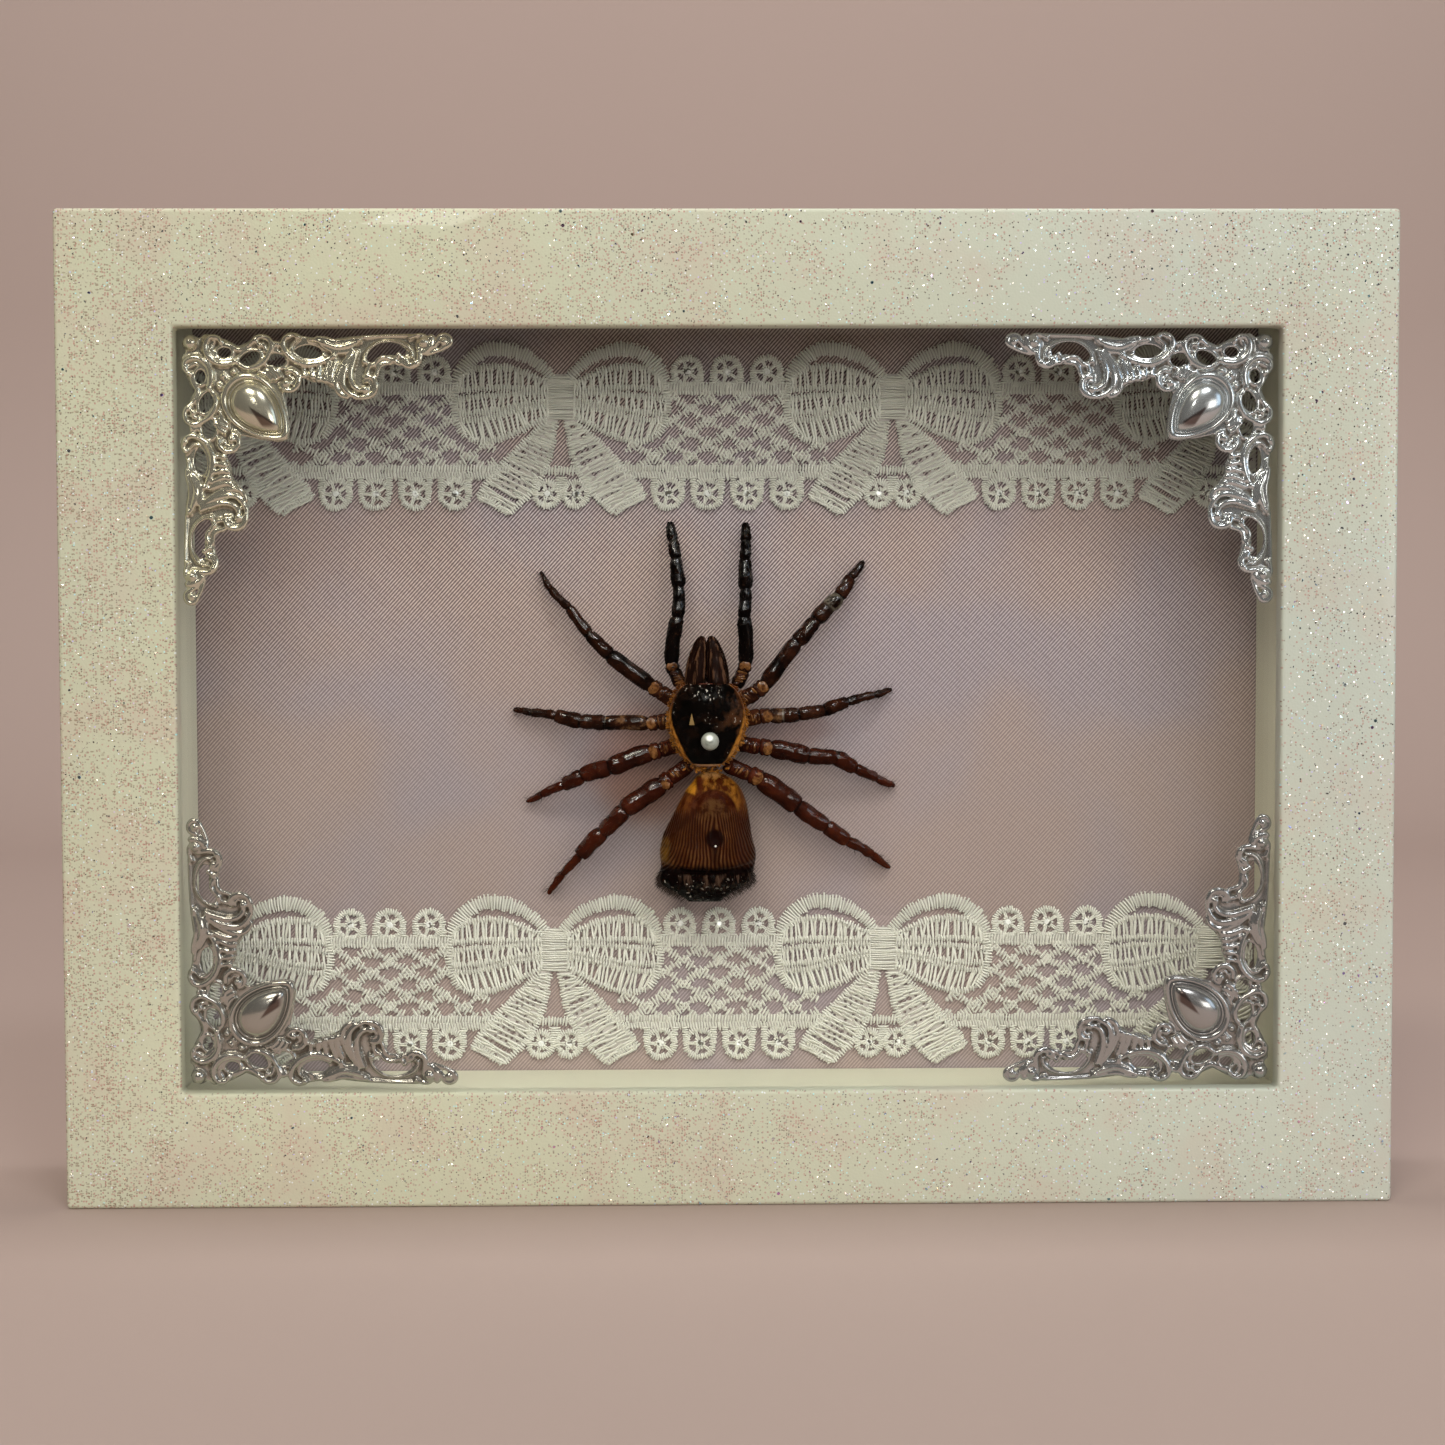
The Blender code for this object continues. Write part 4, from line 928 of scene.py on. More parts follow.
def polishedDrop():
    bm = bmesh.new()
    bmesh.ops.create_circle(bm, cap_ends=False, segments=64, radius=1.0)
    for vert in bm.verts:
        half = hypot(vert.co.x - 1, vert.co.y) / 2
        vert.co = Vector((vert.co.x * casting["dropLong"] / 2,
                          vert.co.y * (casting["dropBlunt"] + casting["dropSpread"] * half), 0.1))
    rim, size = list(bm.edges), 1.0
    first = rim
    for share, height in dropRings():
        verts, rim = grow(bm, rim)
        for vert in verts:
            vert.co = Vector((vert.co.x * share / size, vert.co.y * share / size, height))
        size = share
    bmesh.ops.pointmerge(bm, verts=list({vert for edge in rim for vert in edge.verts}),
                         merge_co=Vector((0, 0, casting["dropHigh"])))
    bmesh.ops.holes_fill(bm, edges=[edge for edge in first if edge.is_boundary])
    bmesh.ops.recalc_face_normals(bm, faces=bm.faces)
    bmesh.ops.transform(bm, matrix=Matrix.Translation((casting["dropAt"], casting["dropAt"], 0))
                        @ Matrix.Rotation(radians(45), 4, "Z"), verts=bm.verts)
    return meshOf(bm, "drop")


def piercedPlate():
    curve = bpy.data.curves.new("plate", "CURVE")
    curve.dimensions, curve.fill_mode, curve.extrude = "2D", "BOTH", casting["plate"] / 2
    swap = [(b, a) for a, b in reversed(armOutline)][1:-1]
    holes = [*pierced, *[[(b, a) for a, b in reversed(hole)] for hole in pierced]]
    for loop in [list(armOutline) + swap, *holes]:
        spline = curve.splines.new("POLY")
        spline.points.add(len(loop) - 1)
        for knot, (a, b) in zip(spline.points, loop):
            knot.co = (a, b, casting["plate"] / 2, 1)
        spline.use_cyclic_u = True
    return finished(linked("plate", curve))


def creviced(mesh):    # marks how deep each vertex lies in a hollow
    count = len(mesh.vertices)
    spots, ways = np.empty(count * 3), np.empty(count * 3)
    ends = np.empty(len(mesh.edges) * 2, int)
    mesh.vertices.foreach_get("co", spots)
    mesh.vertex_normals.foreach_get("vector", ways)
    mesh.edges.foreach_get("vertices", ends)
    spots, ways, ends = spots.reshape(-1, 3), ways.reshape(-1, 3), ends.reshape(-1, 2)
    eased, near = spots.copy(), np.bincount(ends.ravel(), minlength=count)[:, None]
    for turn in range(8):
        total = np.zeros_like(eased)
        np.add.at(total, ends[:, 0], eased[ends[:, 1]])
        np.add.at(total, ends[:, 1], eased[ends[:, 0]])
        eased = total / near
    hollow = ((eased - spots) * ways).sum(axis=1)
    mark = mesh.attributes.new("crevice", "FLOAT", "POINT")
    mark.data.foreach_set("value", np.clip(hollow * 7, 0, 1).astype(np.float32))
    return mesh


def filigree():    # both arms fused with the plate
    lines = []
    for strand in strands:
        knots = smoothLine(strand, 0.4)
        lines.append([((a, b, h), r) for a, b, h, r in knots])
        lines.append([((b, a, h), r) for a, b, h, r in knots])
    rods = threads("rods", lines, 1.0, 2)
    ball = bmesh.new()
    bmesh.ops.create_icosphere(ball, subdivisions=3, radius=1.0)
    spots = [(2.1, 2.1, 0.8, 1.15)]    # the boss at the corner, and the beads of both arms
    spots += [spot for a, b, h, r in beads for spot in ((a, b, h, r), (b, a, h, r))]
    places = [Matrix.Translation((a, b, h)) @ Matrix.Diagonal((r, r, r * 0.9, 1)) for a, b, h, r in spots]
    balls = copies("balls", ball, places)
    ball.free()
    bm = bmesh.new()
    for mesh in (rods, balls, piercedPlate()):
        bm.from_mesh(mesh)
    made = linked("filigree", meshOf(bm, "filigree"))
    fuse = made.modifiers.new("fuse", "REMESH")
    fuse.mode, fuse.voxel_size = "VOXEL", casting["voxel"]
    ease = made.modifiers.new("ease", "SMOOTH")
    ease.factor, ease.iterations = 0.5, 5
    return creviced(finished(made))


def cornerCasting(level, side, relief, drop):    # the one casting, mirrored into each corner
    across, up = 1 if side == "right" else -1, 1 if level == "top" else -1
    bm = bmesh.new()
    bm.from_mesh(relief)
    bm.from_mesh(drop)
    for vert in bm.verts:
        a, b, h = vert.co
        vert.co = at(across * (casting["cornerX"] - a), up * (casting["cornerZ"] - b),
                     casting["back"] - max(0.0, h))
    if across * up < 0:
        bmesh.ops.reverse_faces(bm, faces=bm.faces)
    name = "corner" + level.title() + side.title()
    return piece(name, meshOf(bm, name, fixNormals=False), chrome,
                 (f"corner_{level}_{side}",), smooth=60)


chrome = Finish("brightCasting", metallic=0.75, roughness=0.15)
# darker in the hollows and on the deepest plate: painted shade, with tarnish in the recesses
deep = chrome.mark("crevice").step(0.1, 0.8).most(chrome.y.step(-0.0116, -0.0112) * 0.8)
# painted reflection: champagne on the left, cool silver on the right, darker in the lower corners
metal = chrome.mix(chrome.x.step(-0.06, 0.06), (0.72, 0.685, 0.53), (0.64, 0.67, 0.67))
metal = chrome.mix((1 - chrome.z.step(0.04, 0.11)) * 0.75, metal, (0.40, 0.385, 0.37))
metal = chrome.mix(deep * 0.85, metal, (0.12, 0.095, 0.065))
fromSide = casting["cornerX"] - abs(chrome.x) * 1000
fromEnd = casting["cornerZ"] - abs(chrome.z - middleZ) * 1000
along = (fromSide + fromEnd) * sqrt(0.5)    # along and across the drop, from the corner of the opening
across = (fromSide - fromEnd) * sqrt(0.5) + (chrome.z > middleZ) * 1.0 - 0.5
# a dark streak across the drop's dome: painted reflection of dark surroundings
streak = (abs(across) - (along - 16.6) * 0.22).step(0.2, -0.2) * along.step(16.0, 17.4) \
    * along.step(23.4, 22.2)
metal = chrome.mix(streak * chrome.y.step(-0.0127, -0.0132) * 0.85, metal, (0.085, 0.038, 0.026))
chrome.say(baseColor=metal, roughness=chrome.clouds(500.0, 2.0) * 0.12 + 0.09 + deep * 0.2
           + chrome.y.step(-0.0124, -0.0132) * 0.06)
relief, drop = filigree(), polishedDrop()
print("casting", len(relief.polygons), len(drop.polygons))
for level in ("top", "bottom"):
    for side in ("left", "right"):
        cornerCasting(level, side, relief, drop)
print("corner castings")

# Spider: body

spider = {"axis": -3.5, "shieldDepth": 15.0, "shieldFlat": 0.37, "jawDepth": 16.0, "abdomenDepth": 17.2,
          "abdomenFlat": 0.76, "groove": 0.60}
# Profiles of radius and height
shieldProfile = ((0, 4.05), (1.9, 4.02), (3.4, 3.85), (4.7, 2.9), (5.75, 0.9), (6.2, -1.6), (5.75, -4.2),
                 (4.5, -6.9), (3.2, -8.4), (1.8, -9.3), (0, -9.5))
jawProfile = ((0, 3.6), (1.95, 3.62), (2.2, 5.2), (2.08, 7.2), (1.6, 9.4), (0.98, 11.0), (0.4, 11.6),
              (0, 11.65))
abdomenProfile = ((0, -9.9), (1.5, -10.25), (2.5, -11.4), (4.2, -13.0), (5.4, -15.5), (6.3, -18.0),
                  (7.1, -20.5), (7.7, -23.2), (7.75, -24.8), (7.35, -25.8), (7.2, -26.3), (7.5, -27.0),
                  (7.6, -28.2), (6.4, -29.4), (4.6, -30.4), (2.4, -31.2), (0, -31.6))
# Height and place across of the abdomen's left and right edge
abdomenOutline = {
    -1: ((-10.0, -3.4), (-10.7, -5.0), (-12.2, -6.0), (-13.5, -7.1), (-15.1, -7.95), (-17.2, -9.0),
         (-20.5, -10.7), (-23.4, -11.3), (-25.8, -11.0), (-27.4, -11.6), (-28.6, -11.2), (-29.7, -9.2),
         (-30.6, -7.7), (-31.6, -6.4)),
    1: ((-10.0, -3.0), (-10.6, -1.2), (-11.3, 0.2), (-12.3, 1.4), (-13.6, 2.2), (-15.4, 2.85),
        (-17.3, 3.2), (-21.1, 3.75), (-23.4, 4.4), (-25.0, 4.3), (-26.4, 3.9), (-27.8, 3.9),
        (-28.8, 2.6), (-30.2, 0.2), (-31.6, -1.6))}


def spun(profile, steps, rise):    # a smooth profile, turned about an upright axis
    bm = bmesh.new()
    line = smoothLine(profile, rise)
    chain = [bm.verts.new((max(0.0, spot[0]), 0, spot[1])) for spot in line]
    chain[0].co.x = chain[-1].co.x = 0
    edges = [bm.edges.new(pair) for pair in zip(chain, chain[1:])]
    bmesh.ops.spin(bm, geom=chain + edges, axis=(0, 0, 1), cent=(0, 0, 0), angle=tau, steps=steps,
                   use_merge=True)
    bmesh.ops.remove_doubles(bm, verts=bm.verts, dist=0.001)
    bmesh.ops.recalc_face_normals(bm, faces=bm.faces)
    return bm


def addBall(bm, place, radii, values, turn=0.0, subdivisions=2):    # turned in the plane of the face
    made = bmesh.ops.create_icosphere(bm, subdivisions=subdivisions, radius=1.0,
                                      matrix=Matrix.Translation(place) @ Matrix.Rotation(-turn, 4, "Y")
                                      @ Matrix.Diagonal((*radii, 1)))
    for vert in made["verts"]:
        for layer, value in values:
            vert[layer] = value


def settle(bm):    # from across, depth and height in millimetres to its place in the box
    for vert in bm.verts:
        vert.co = at(vert.co.x, vert.co.z, vert.co.y)
    return bm


def shieldBody():
    bm = spun(shieldProfile, 96, 0.25)
    rim = bm.verts.layers.float.new("rim")
    for vert in bm.verts:
        x, y, z = vert.co
        radius = max(hypot(x, y), 1e-6)
        edge, front = abs(x) / radius, y < 0
        limit = 0.95 - 0.11 * clamp((-1.0 - z) / 5.0) + 0.10 * clamp((-7.2 - z) / 1.8)
        vert[rim] = clamp((edge - limit) / 0.03 + 0.5) if front else 1.0
        depth = spider["shieldFlat"] * radius * (abs(y) / radius) ** (0.78 if front else 1.0)
        head = exp(-((x / 2.9) ** 2 + ((z - 1.4) / 2.8) ** 2)) * 0.35
        around = atan2(z + 4.6, x)
        furrow = -0.10 * max(0.0, cos(around * 9)) * exp(-((hypot(x, z + 4.6) - 3.6) / 1.6) ** 2)
        rough = 0.06 * noise.noise(Vector((x, z, 3)) * 1.6)
        pleat = 0.16 * noise.noise(Vector((x * 0.6, z * 2.6, 7))) * vert[rim]
        if front:
            vert.co.y = spider["shieldDepth"] - depth - (head + furrow + rough) * (1 - edge ** 4) - pleat
        else:
            vert.co.y = spider["shieldDepth"] + depth
        vert.co.x += spider["axis"]
    for x, z, size in ((0.45, 0.25, 0.24), (1.15, 0.35, 0.27), (0.85, -0.25, 0.2), (1.35, -0.15, 0.24)):
        for side in (-1, 1):    # the eyes, on their mound
            addBall(bm, (spider["axis"] - 0.2 + side * x, 12.95 + x * 0.12, 2.85 + z),
                    (size, size * 0.8, size), ((rim, 0.0),))
    dice = random.Random(5)
    for radius, height in smoothLine(shieldProfile[2:-1], 0.42):    # folds of skin round its edge
        for side in (-1, 1):
            out = dice.uniform(0.0, 0.28)
            addBall(bm, (spider["axis"] + side * (radius + out), dice.uniform(15.6, 16.8), height),
                    (dice.uniform(0.35, 0.7), 0.5, dice.uniform(0.16, 0.3)), ((rim, 1.0),),
                    dice.gauss(0, 0.35) + side * (0.35 if height > 0 else -0.45))
    for number in range(26):    # and behind it, down to the waist
        x, depth = dice.triangular(-4.3, 4.1), dice.uniform(15.9, 16.9)
        addBall(bm, (spider["axis"] + 0.1 + x, depth, -9.5 - dice.random() * (1.3 - 0.2 * abs(x))),
                (dice.uniform(0.25, 0.6), 0.5, dice.uniform(0.16, 0.3)), ((rim, 1.0),), dice.gauss(0, 0.6))
    return settle(bm)


def shieldShell():
    shell = Finish("darkShield", roughness=0.1, specularIorLevel=0.03, coatWeight=0.05, coatRoughness=0.04)
    x, z = shell.x * 1000, (shell.z - middleZ) * 1000
    rim = shell.mark("rim")
    mottle, fine = shell.clouds(420.0, 4.0, 0.6), shell.clouds(1500.0, 3.0)
    dark = shell.mix(mottle.step(0.45, 0.75), (0.0012, 0.0007, 0.0004), (0.010, 0.0035, 0.0015))
    dark = shell.mix(x.step(-2.5, 1.5) * z.step(-7.0, -3.0) * mottle.step(0.42, 0.62) * 0.8, dark,
                     (0.065, 0.024, 0.009))
    mark = (abs(x + 6.0) < (z * -0.22 - 0.16)) * (z > -2.65) * (z < -0.6)    # a pale wedge: a painted highlight
    dark = shell.mix(mark, dark, (0.24, 0.15, 0.06))
    dark = shell.mix(z.step(3.82, 3.92) * 0.7, dark, (0.12, 0.032, 0.02))    # the front lip
    waist = squared(x + 3.5) * 0.015
    dark = shell.mix((z - waist).step(-9.0, -9.12), dark, (0.34, 0.17, 0.08))    # the hind edge
    amber = shell.mix(fine.step(0.25, 0.7), (0.075, 0.016, 0.002), (0.40, 0.155, 0.024))
    amber = shell.mix(mottle.step(0.48, 0.72) * 0.6, amber, (0.36, 0.17, 0.05))
    amber = shell.mix(z.step(-2.0, 0.8) * mottle.step(0.3, 0.5) * 0.85, amber, (0.055, 0.012, 0.004))
    wet = shell.clouds(700.0, 3.0, 0.7).step(0.52, 0.6)
    mound = abs(x + 3.6).step(2.6, 1.6) * z.step(0.6, 1.2)    # of the eyes
    # pale specks over the eye mound and in patches: painted glints
    paintedGlint = shell.clouds(2700.0, 1.0, 0.5, place=shell.stretched((1, 1, 0.7)))
    shiny = mound * 0.9 + (1 - mound) * mottle.step(0.54, 0.6) * 0.7
    dark = shell.mix(paintedGlint.step(0.66, 0.72) * shiny, dark, (0.46, 0.41, 0.36))
    shell.say(baseColor=shell.mix(rim, dark, amber), roughness=mottle * 0.16 + 0.05 + rim * 0.18,
              coatWeight=wet * (z.step(0.5, 1.5) * 0.4 + rim * 0.2 + 0.15) + 0.01)
    shell.bump(shell.clouds(850.0, 3.0, 0.6) * 0.9 + fine * 0.4, 0.00028, 0.9)
    return shell


def jaw(side):
    bm = spun(jawProfile, 40, 0.3)
    ridge = bm.verts.layers.float.new("ridge")
    for vert in bm.verts:
        x, y, z = vert.co
        wave = cos(atan2(y, x) * 7 + 0.6 * noise.noise(vert.co * 0.5))
        scale = 1 + 0.05 * wave * min(1.0, hypot(x, y))
        vert[ridge] = max(0.0, wave)
        across = x * scale * (0.64 if x * side < 0 else 1.0)
        up, lean = z - 4.3, radians(side * -6.5)
        vert.co = Vector((spider["axis"] - 0.1 + side * 1.45 + across * cos(lean) + up * sin(lean),
                          spider["jawDepth"] + y * scale * 1.1, 4.3 + up * cos(lean) - across * sin(lean)))
    return settle(bm)


def abdomenEdge(z, side):    # how far across the outline is at this height
    rows = abdomenOutline[side]
    for (top, first), (low, second) in zip(rows, rows[1:]):
        if z >= low:
            return first + (second - first) * (top - min(z, top)) / (top - low)
    return rows[-1][1]


def abdomenBody():
    bm = spun(abdomenProfile, 160, 0.16)
    for vert in bm.verts:
        x, y, z = vert.co
        radius = max(hypot(x, y), 1e-6)
        share = (x / radius + 1) / 2
        left, right = (sum(abdomenEdge(z + shift, side) for shift in (-0.5, -0.25, 0, 0.25, 0.5)) / 5
                       for side in (-1, 1))
        share = share * share * (3 - 2 * share) * 0.35 + share * 0.65
        across = left + (right - left) * share
        depth = spider["abdomenFlat"] * y
        disc = clamp((-26.0 - z) / 3.0)    # on the disc at its rear end
        arch = exp(-((hypot((across + 2.4) / 3.4, (z + 16.4) / 3.6) - 0.9) / 0.14) ** 2) * (z > -17.5)
        here = Vector((across, y, z))
        lump = 0.22 * noise.noise(here * 0.45) + 0.1 * noise.noise(here * 1.6)
        spot = 0.16 * exp(-(((across + 2.4) / 1.0) ** 2 + ((z + 20.8) / 1.2) ** 2))
        waist = 0.16 * noise.noise(Vector((across * 1.4, z * 2.2, 4))) * clamp((z + 14.0) / 2.0)
        ribs = (0.2 * cos((across + 3.5) * 4.6 + noise.noise(vert.co * 0.6))
                + 0.18 * noise.noise(vert.co * 2.1)) * disc
        trench = 0.6 * exp(-((z + 26.2 - 0.02 * (across + 3.5) ** 2) / 0.42) ** 2)
        if y < 0:
            relief = arch * 0.3 + spot + trench + lump + ribs + waist
            depth += relief * min(1.0, -y / 1.5) + disc * 1.1 * (-y / 7.7)
        vert.co = Vector((across, spider["abdomenDepth"] + depth, z))
    return settle(bm)


def abdomenSkin():
    skin = Finish("abdomenSkin", roughness=0.34, specularIorLevel=0.02, coatRoughness=0.06)
    x, z = skin.x * 1000, (skin.z - middleZ) * 1000
    fine, mottle = skin.clouds(900.0, 3.0, 0.6), skin.clouds(180.0, 3.0, 0.6)
    spotX, spotZ, off = x + 2.4, z + 20.8, x + 3.0
    far = squared(spotX) + squared(spotZ) * 0.95
    push = far.maths("EXPONENT", far * -0.2) * spotX.maths("TANH", spotX * 1.5) * 0.7    # round the dark spot
    wander = skin.clouds(260.0, 2.0)
    phase = (off + (z + 24.0) * off * abs(off) * 0.014 - push + wander * 0.8) * (tau / spider["groove"])
    line = phase.wave() * 0.5 + 0.5
    dull = x.step(0.4, 2.0)    # its right side is duller
    crest = skin.mix(mottle.step(0.38, 0.66), (0.058, 0.019, 0.0048), (0.13, 0.053, 0.018))
    dash = skin.clouds(480.0, 2.0, 0.5, place=skin.stretched((1, 1, 0.4)))
    crest = skin.mix(dash.step(0.58, 0.4) * 0.6, crest, (0.040, 0.011, 0.0025))
    crest = skin.mix(dull * 0.8, crest, (0.050, 0.018, 0.0095))
    flank = (x + 4.4 - (z + 16.3) * 0.93 + wander * 1.6).step(1.4, 0.0) * z.step(-25.0, -22.0)
    flank = flank.most(dull * z.step(-20.5, -17.5))
    crest = skin.mix(flank * 0.8, crest,
                     skin.mix(fine.step(0.4, 0.7), (0.020, 0.0028, 0.0004), (0.044, 0.011, 0.0033)))
    ribs = z.step(-15.6, -17.2)    # where the ribs begin
    colour = skin.mix((1 - line.step(0.2, 0.95)) * ribs * (0.94 - flank * 0.3), crest,
                      (0.013, 0.0014, 0.0002))
    wedge = abs(spotX).step(1.1, 0.3) * z.step(-25.8, -24.2) * z.step(-21.2, -22.2)
    colour = skin.mix(wedge * 0.65, colour, (0.010, 0.0015, 0.0006))
    colour = skin.mix((far + wander * 1.6 - 0.8).step(2.9, 1.3) * 0.97, colour, (0.006, 0.0010, 0.0005))
    dome = squared(x + 2.4) * 0.075 + squared(z + 17.3) * 0.062 + (wander - 0.5) * 0.35
    hood = (1 - ribs) * (1 - dome.step(0.95, 1.15))    # the raised arch before the ribs
    colour = skin.mix(hood, colour,
                      skin.mix(fine.step(0.4, 0.7), (0.024, 0.0032, 0.0004), (0.052, 0.0125, 0.0035)))
    colour = skin.mix((1 - dome.step(0.35, 0.62)) * z.step(-18.2, -16.4) * 0.9, colour,
                      skin.mix(fine.step(0.38, 0.62), (0.022, 0.0042, 0.0006), (0.070, 0.028, 0.008)))
    shoulder = dome.step(0.95, 1.2) * (z + abs(x + 3.0) * 0.25).step(-17.2, -13.9)
    pleats = skin.clouds(760.0, 3.0, 0.6, place=skin.stretched((1.2, 1, 0.7), (0, 0.5, 0)))
    gold = skin.mix(pleats.step(0.38, 0.66), (0.040, 0.0072, 0.0006), (0.20, 0.076, 0.0095))
    gold = skin.mix(x.step(0.8, 2.2) * 0.8, gold, (0.075, 0.022, 0.006))
    gold = skin.mix(z.step(-11.9, -10.6) * pleats.step(0.4, 0.58) * 0.6, gold, (0.31, 0.16, 0.06))
    above = (z + x * 0.3 + wander * 0.6).step(-15.7, -15.2)
    patch = x.step(-5.0, -5.6) * above    # the brightest part of it
    gold = skin.mix(patch * 0.9, gold,
                    skin.mix(pleats.step(0.3, 0.6), (0.15, 0.042, 0.003), (0.42, 0.17, 0.014)))
    seam = abs(x + 4.9 - (z + 13.0) * 0.25 + (wander - 0.5) * 0.8).step(0.75, 0.3) * z.step(-11.0, -11.8)
    below = x.step(-4.6, -5.4) * (1 - above)
    gold = skin.mix(seam.most(below) * 0.85, gold,
                    skin.mix(pleats.step(0.4, 0.7), (0.045, 0.008, 0.002), (0.11, 0.030, 0.007)))
    colour = skin.mix(shoulder, colour, gold)
    colour = skin.mix(x.step(-9.4, -10.1) * z.step(-25.6, -24.4) * z.step(-20.4, -21.6) * fine.step(0.2, 0.6),
                      colour, (0.14, 0.064, 0.012))
    low = z + skin.clouds(500.0, 2.0) * 0.9    # a ragged edge for the black rear
    colour = skin.mix(low.step(-24.5, -25.6), colour, (0.0025, 0.0006, 0.0003))
    streak = skin.clouds(560.0, 3.0, 0.7, place=skin.stretched((1.8, 1, 0.3)))
    ear = x.step(1.0, 2.4) * low.step(-25.8, -26.6) * 0.8    # brown streaks at its right end
    upper = low.step(-26.0, -26.5) * z.step(-30.0, -27.6) * x.step(-9.0, -6.5)    # and on its upper half
    colour = skin.mix(streak.step(0.47, 0.6) * (upper * 0.8).most(ear), colour, (0.072, 0.038, 0.024))
    glint = skin.clouds(1500.0, 2.0, 0.5).step(0.655, 0.70) * low.step(-26.0, -27.4) \
        * (0.35 + x.step(-4.0, -8.0))
    colour = skin.mix(glint * 0.8, colour, (0.40, 0.35, 0.30))
    spotGlint = squared(x + 2.25) + squared(z + 22.0)    # the one bright glint on the spot: a painted highlight
    colour = skin.mix(spotGlint.step(0.032, 0.012), colour, (0.85, 0.80, 0.74))
    rear = low.step(-25.6, -26.6)
    wet = skin.clouds(700.0, 3.0, 0.7).step(0.58, 0.68)
    skin.say(baseColor=colour, roughness=mottle * 0.2 + 0.2 - rear * 0.1,
             coatWeight=wet * (rear * 0.5 + 0.12))
    skin.bump(line * ribs * 0.8 + fine * 0.6 + streak * rear * 1.5, 0.00018, 0.8)
    return skin


piece("carapaceShield", shieldBody(), shieldShell(), ("carapace",), smooth=60)
horn = Finish("jawHorn", roughness=0.22, specularIorLevel=0.03)
streaks = horn.clouds(2400.0, 3.0, 0.6, place=horn.stretched((1.0, 1.0, 0.13)))
base = horn.mix(streaks, (0.002, 0.0009, 0.0006), (0.013, 0.0038, 0.0018))
horn.say(baseColor=horn.mix((horn.mark("ridge") * 0.2 + streaks).step(0.60, 0.75) * 0.85, base,
                            (0.085, 0.038, 0.019)),
         roughness=streaks * 0.3 + 0.1, coatWeight=streaks.step(0.56, 0.62) * 0.3)
horn.bump(streaks, 0.00016, 0.8)
for name, side in (("Left", -1), ("Right", 1)):
    piece("jaw" + name, jaw(side), horn, ("jaw_" + name.lower(),), smooth=60)
piece("abdomenBody", abdomenBody(), abdomenSkin(), ("abdomen",), smooth=70)
under = Finish("amberUnderside", roughness=0.35, coatWeight=0.1)
under.say(baseColor=under.mix(under.clouds(500.0, 4.0).step(0.35, 0.7), (0.04, 0.013, 0.005),
                              (0.18, 0.075, 0.022)))
under.bump(under.clouds(1200.0, 3.0), 0.0001, 0.6)
setCoat("sternum", under)

# Spider: limbs. Millimetres across and up from the middle, and depth

coat = {"folds": 6, "hairs": 170, "hairThick": 0.026, "bristles": 620, "bristleThick": 0.034}
limbs = {
    "palp_left": ((-7.7, 3.6, 19.0), (-8.8, 6.0, 18.8), (-9.3, 6.9, 18.6), (-8.3, 14.6, 18.4),
                  (-8.0, 19.6, 19.0), (-8.5, 24.2, 19.9), (-9.0, 27.1, 20.7), (-9.5, 30.2, 21.8)),
    "palp_right": ((1.2, 3.5, 19.0), (2.5, 5.9, 18.7), (2.8, 6.9, 18.6), (2.5, 14.6, 18.5),
                   (2.8, 19.3, 19.0), (2.8, 24.1, 20.0), (2.9, 27.0, 20.8), (2.9, 30.0, 21.8)),
    "leg_left_1": ((-8.7, 1.1, 19.0), (-11.2, 2.6, 18.8), (-12.5, 3.4, 18.6), (-19.3, 8.5, 18.5),
                   (-22.6, 11.9, 19.0), (-25.9, 16.2, 20.3), (-29.0, 19.2, 21.7), (-30.7, 22.1, 23.1)),
    "leg_left_2": ((-8.9, -2.0, 19.0), (-11.6, -2.5, 18.7), (-13.0, -2.6, 18.5), (-20.1, -2.5, 18.5),
                   (-24.1, -2.3, 19.1), (-28.2, -1.4, 20.2), (-32.3, -0.9, 21.7), (-35.2, -0.5, 23.1)),
    "leg_left_3": ((-8.1, -6.0, 19.0), (-11.2, -6.9, 18.6), (-12.7, -7.3, 18.5), (-19.4, -9.8, 18.5),
                   (-23.9, -11.1, 19.3), (-27.0, -12.7, 20.3), (-30.6, -14.4, 21.8), (-33.2, -15.6, 23.1)),
    "leg_left_4": ((-6.3, -9.2, 19.0), (-9.6, -11.6, 18.7), (-10.8, -12.4, 18.6), (-17.1, -16.6, 18.4),
                   (-20.6, -20.3, 19.0), (-24.4, -24.3, 20.2), (-27.3, -27.3, 21.5), (-29.7, -30.8, 23.1)),
    "leg_right_1": ((1.6, 0.8, 19.0), (4.6, 2.4, 18.7), (5.9, 3.6, 18.5), (11.1, 10.5, 18.5),
                    (14.2, 14.1, 19.2), (18.2, 17.9, 20.5), (20.1, 21.0, 21.7), (22.3, 23.7, 23.1)),
    "leg_right_2": ((1.8, -1.9, 19.0), (5.2, -1.5, 18.6), (6.7, -1.4, 18.5), (11.4, -1.2, 18.4),
                    (15.6, -0.6, 18.9), (19.4, 0.7, 19.9), (23.9, 1.8, 21.6), (27.0, 2.7, 23.1)),
    "leg_right_3": ((1.2, -5.8, 19.0), (5.1, -6.5, 18.6), (6.8, -6.7, 18.5), (13.0, -8.0, 18.5),
                    (17.5, -8.2, 19.2), (20.7, -10.1, 20.2), (24.3, -11.8, 21.6), (27.4, -13.2, 23.1)),
    "leg_right_4": ((-0.6, -9.2, 19.0), (3.4, -10.9, 18.7), (5.1, -11.8, 18.6), (11.2, -16.2, 18.4),
                    (15.9, -19.5, 19.1), (19.4, -22.0, 20.1), (23.6, -24.5, 21.6), (26.6, -26.7, 23.1)),
}
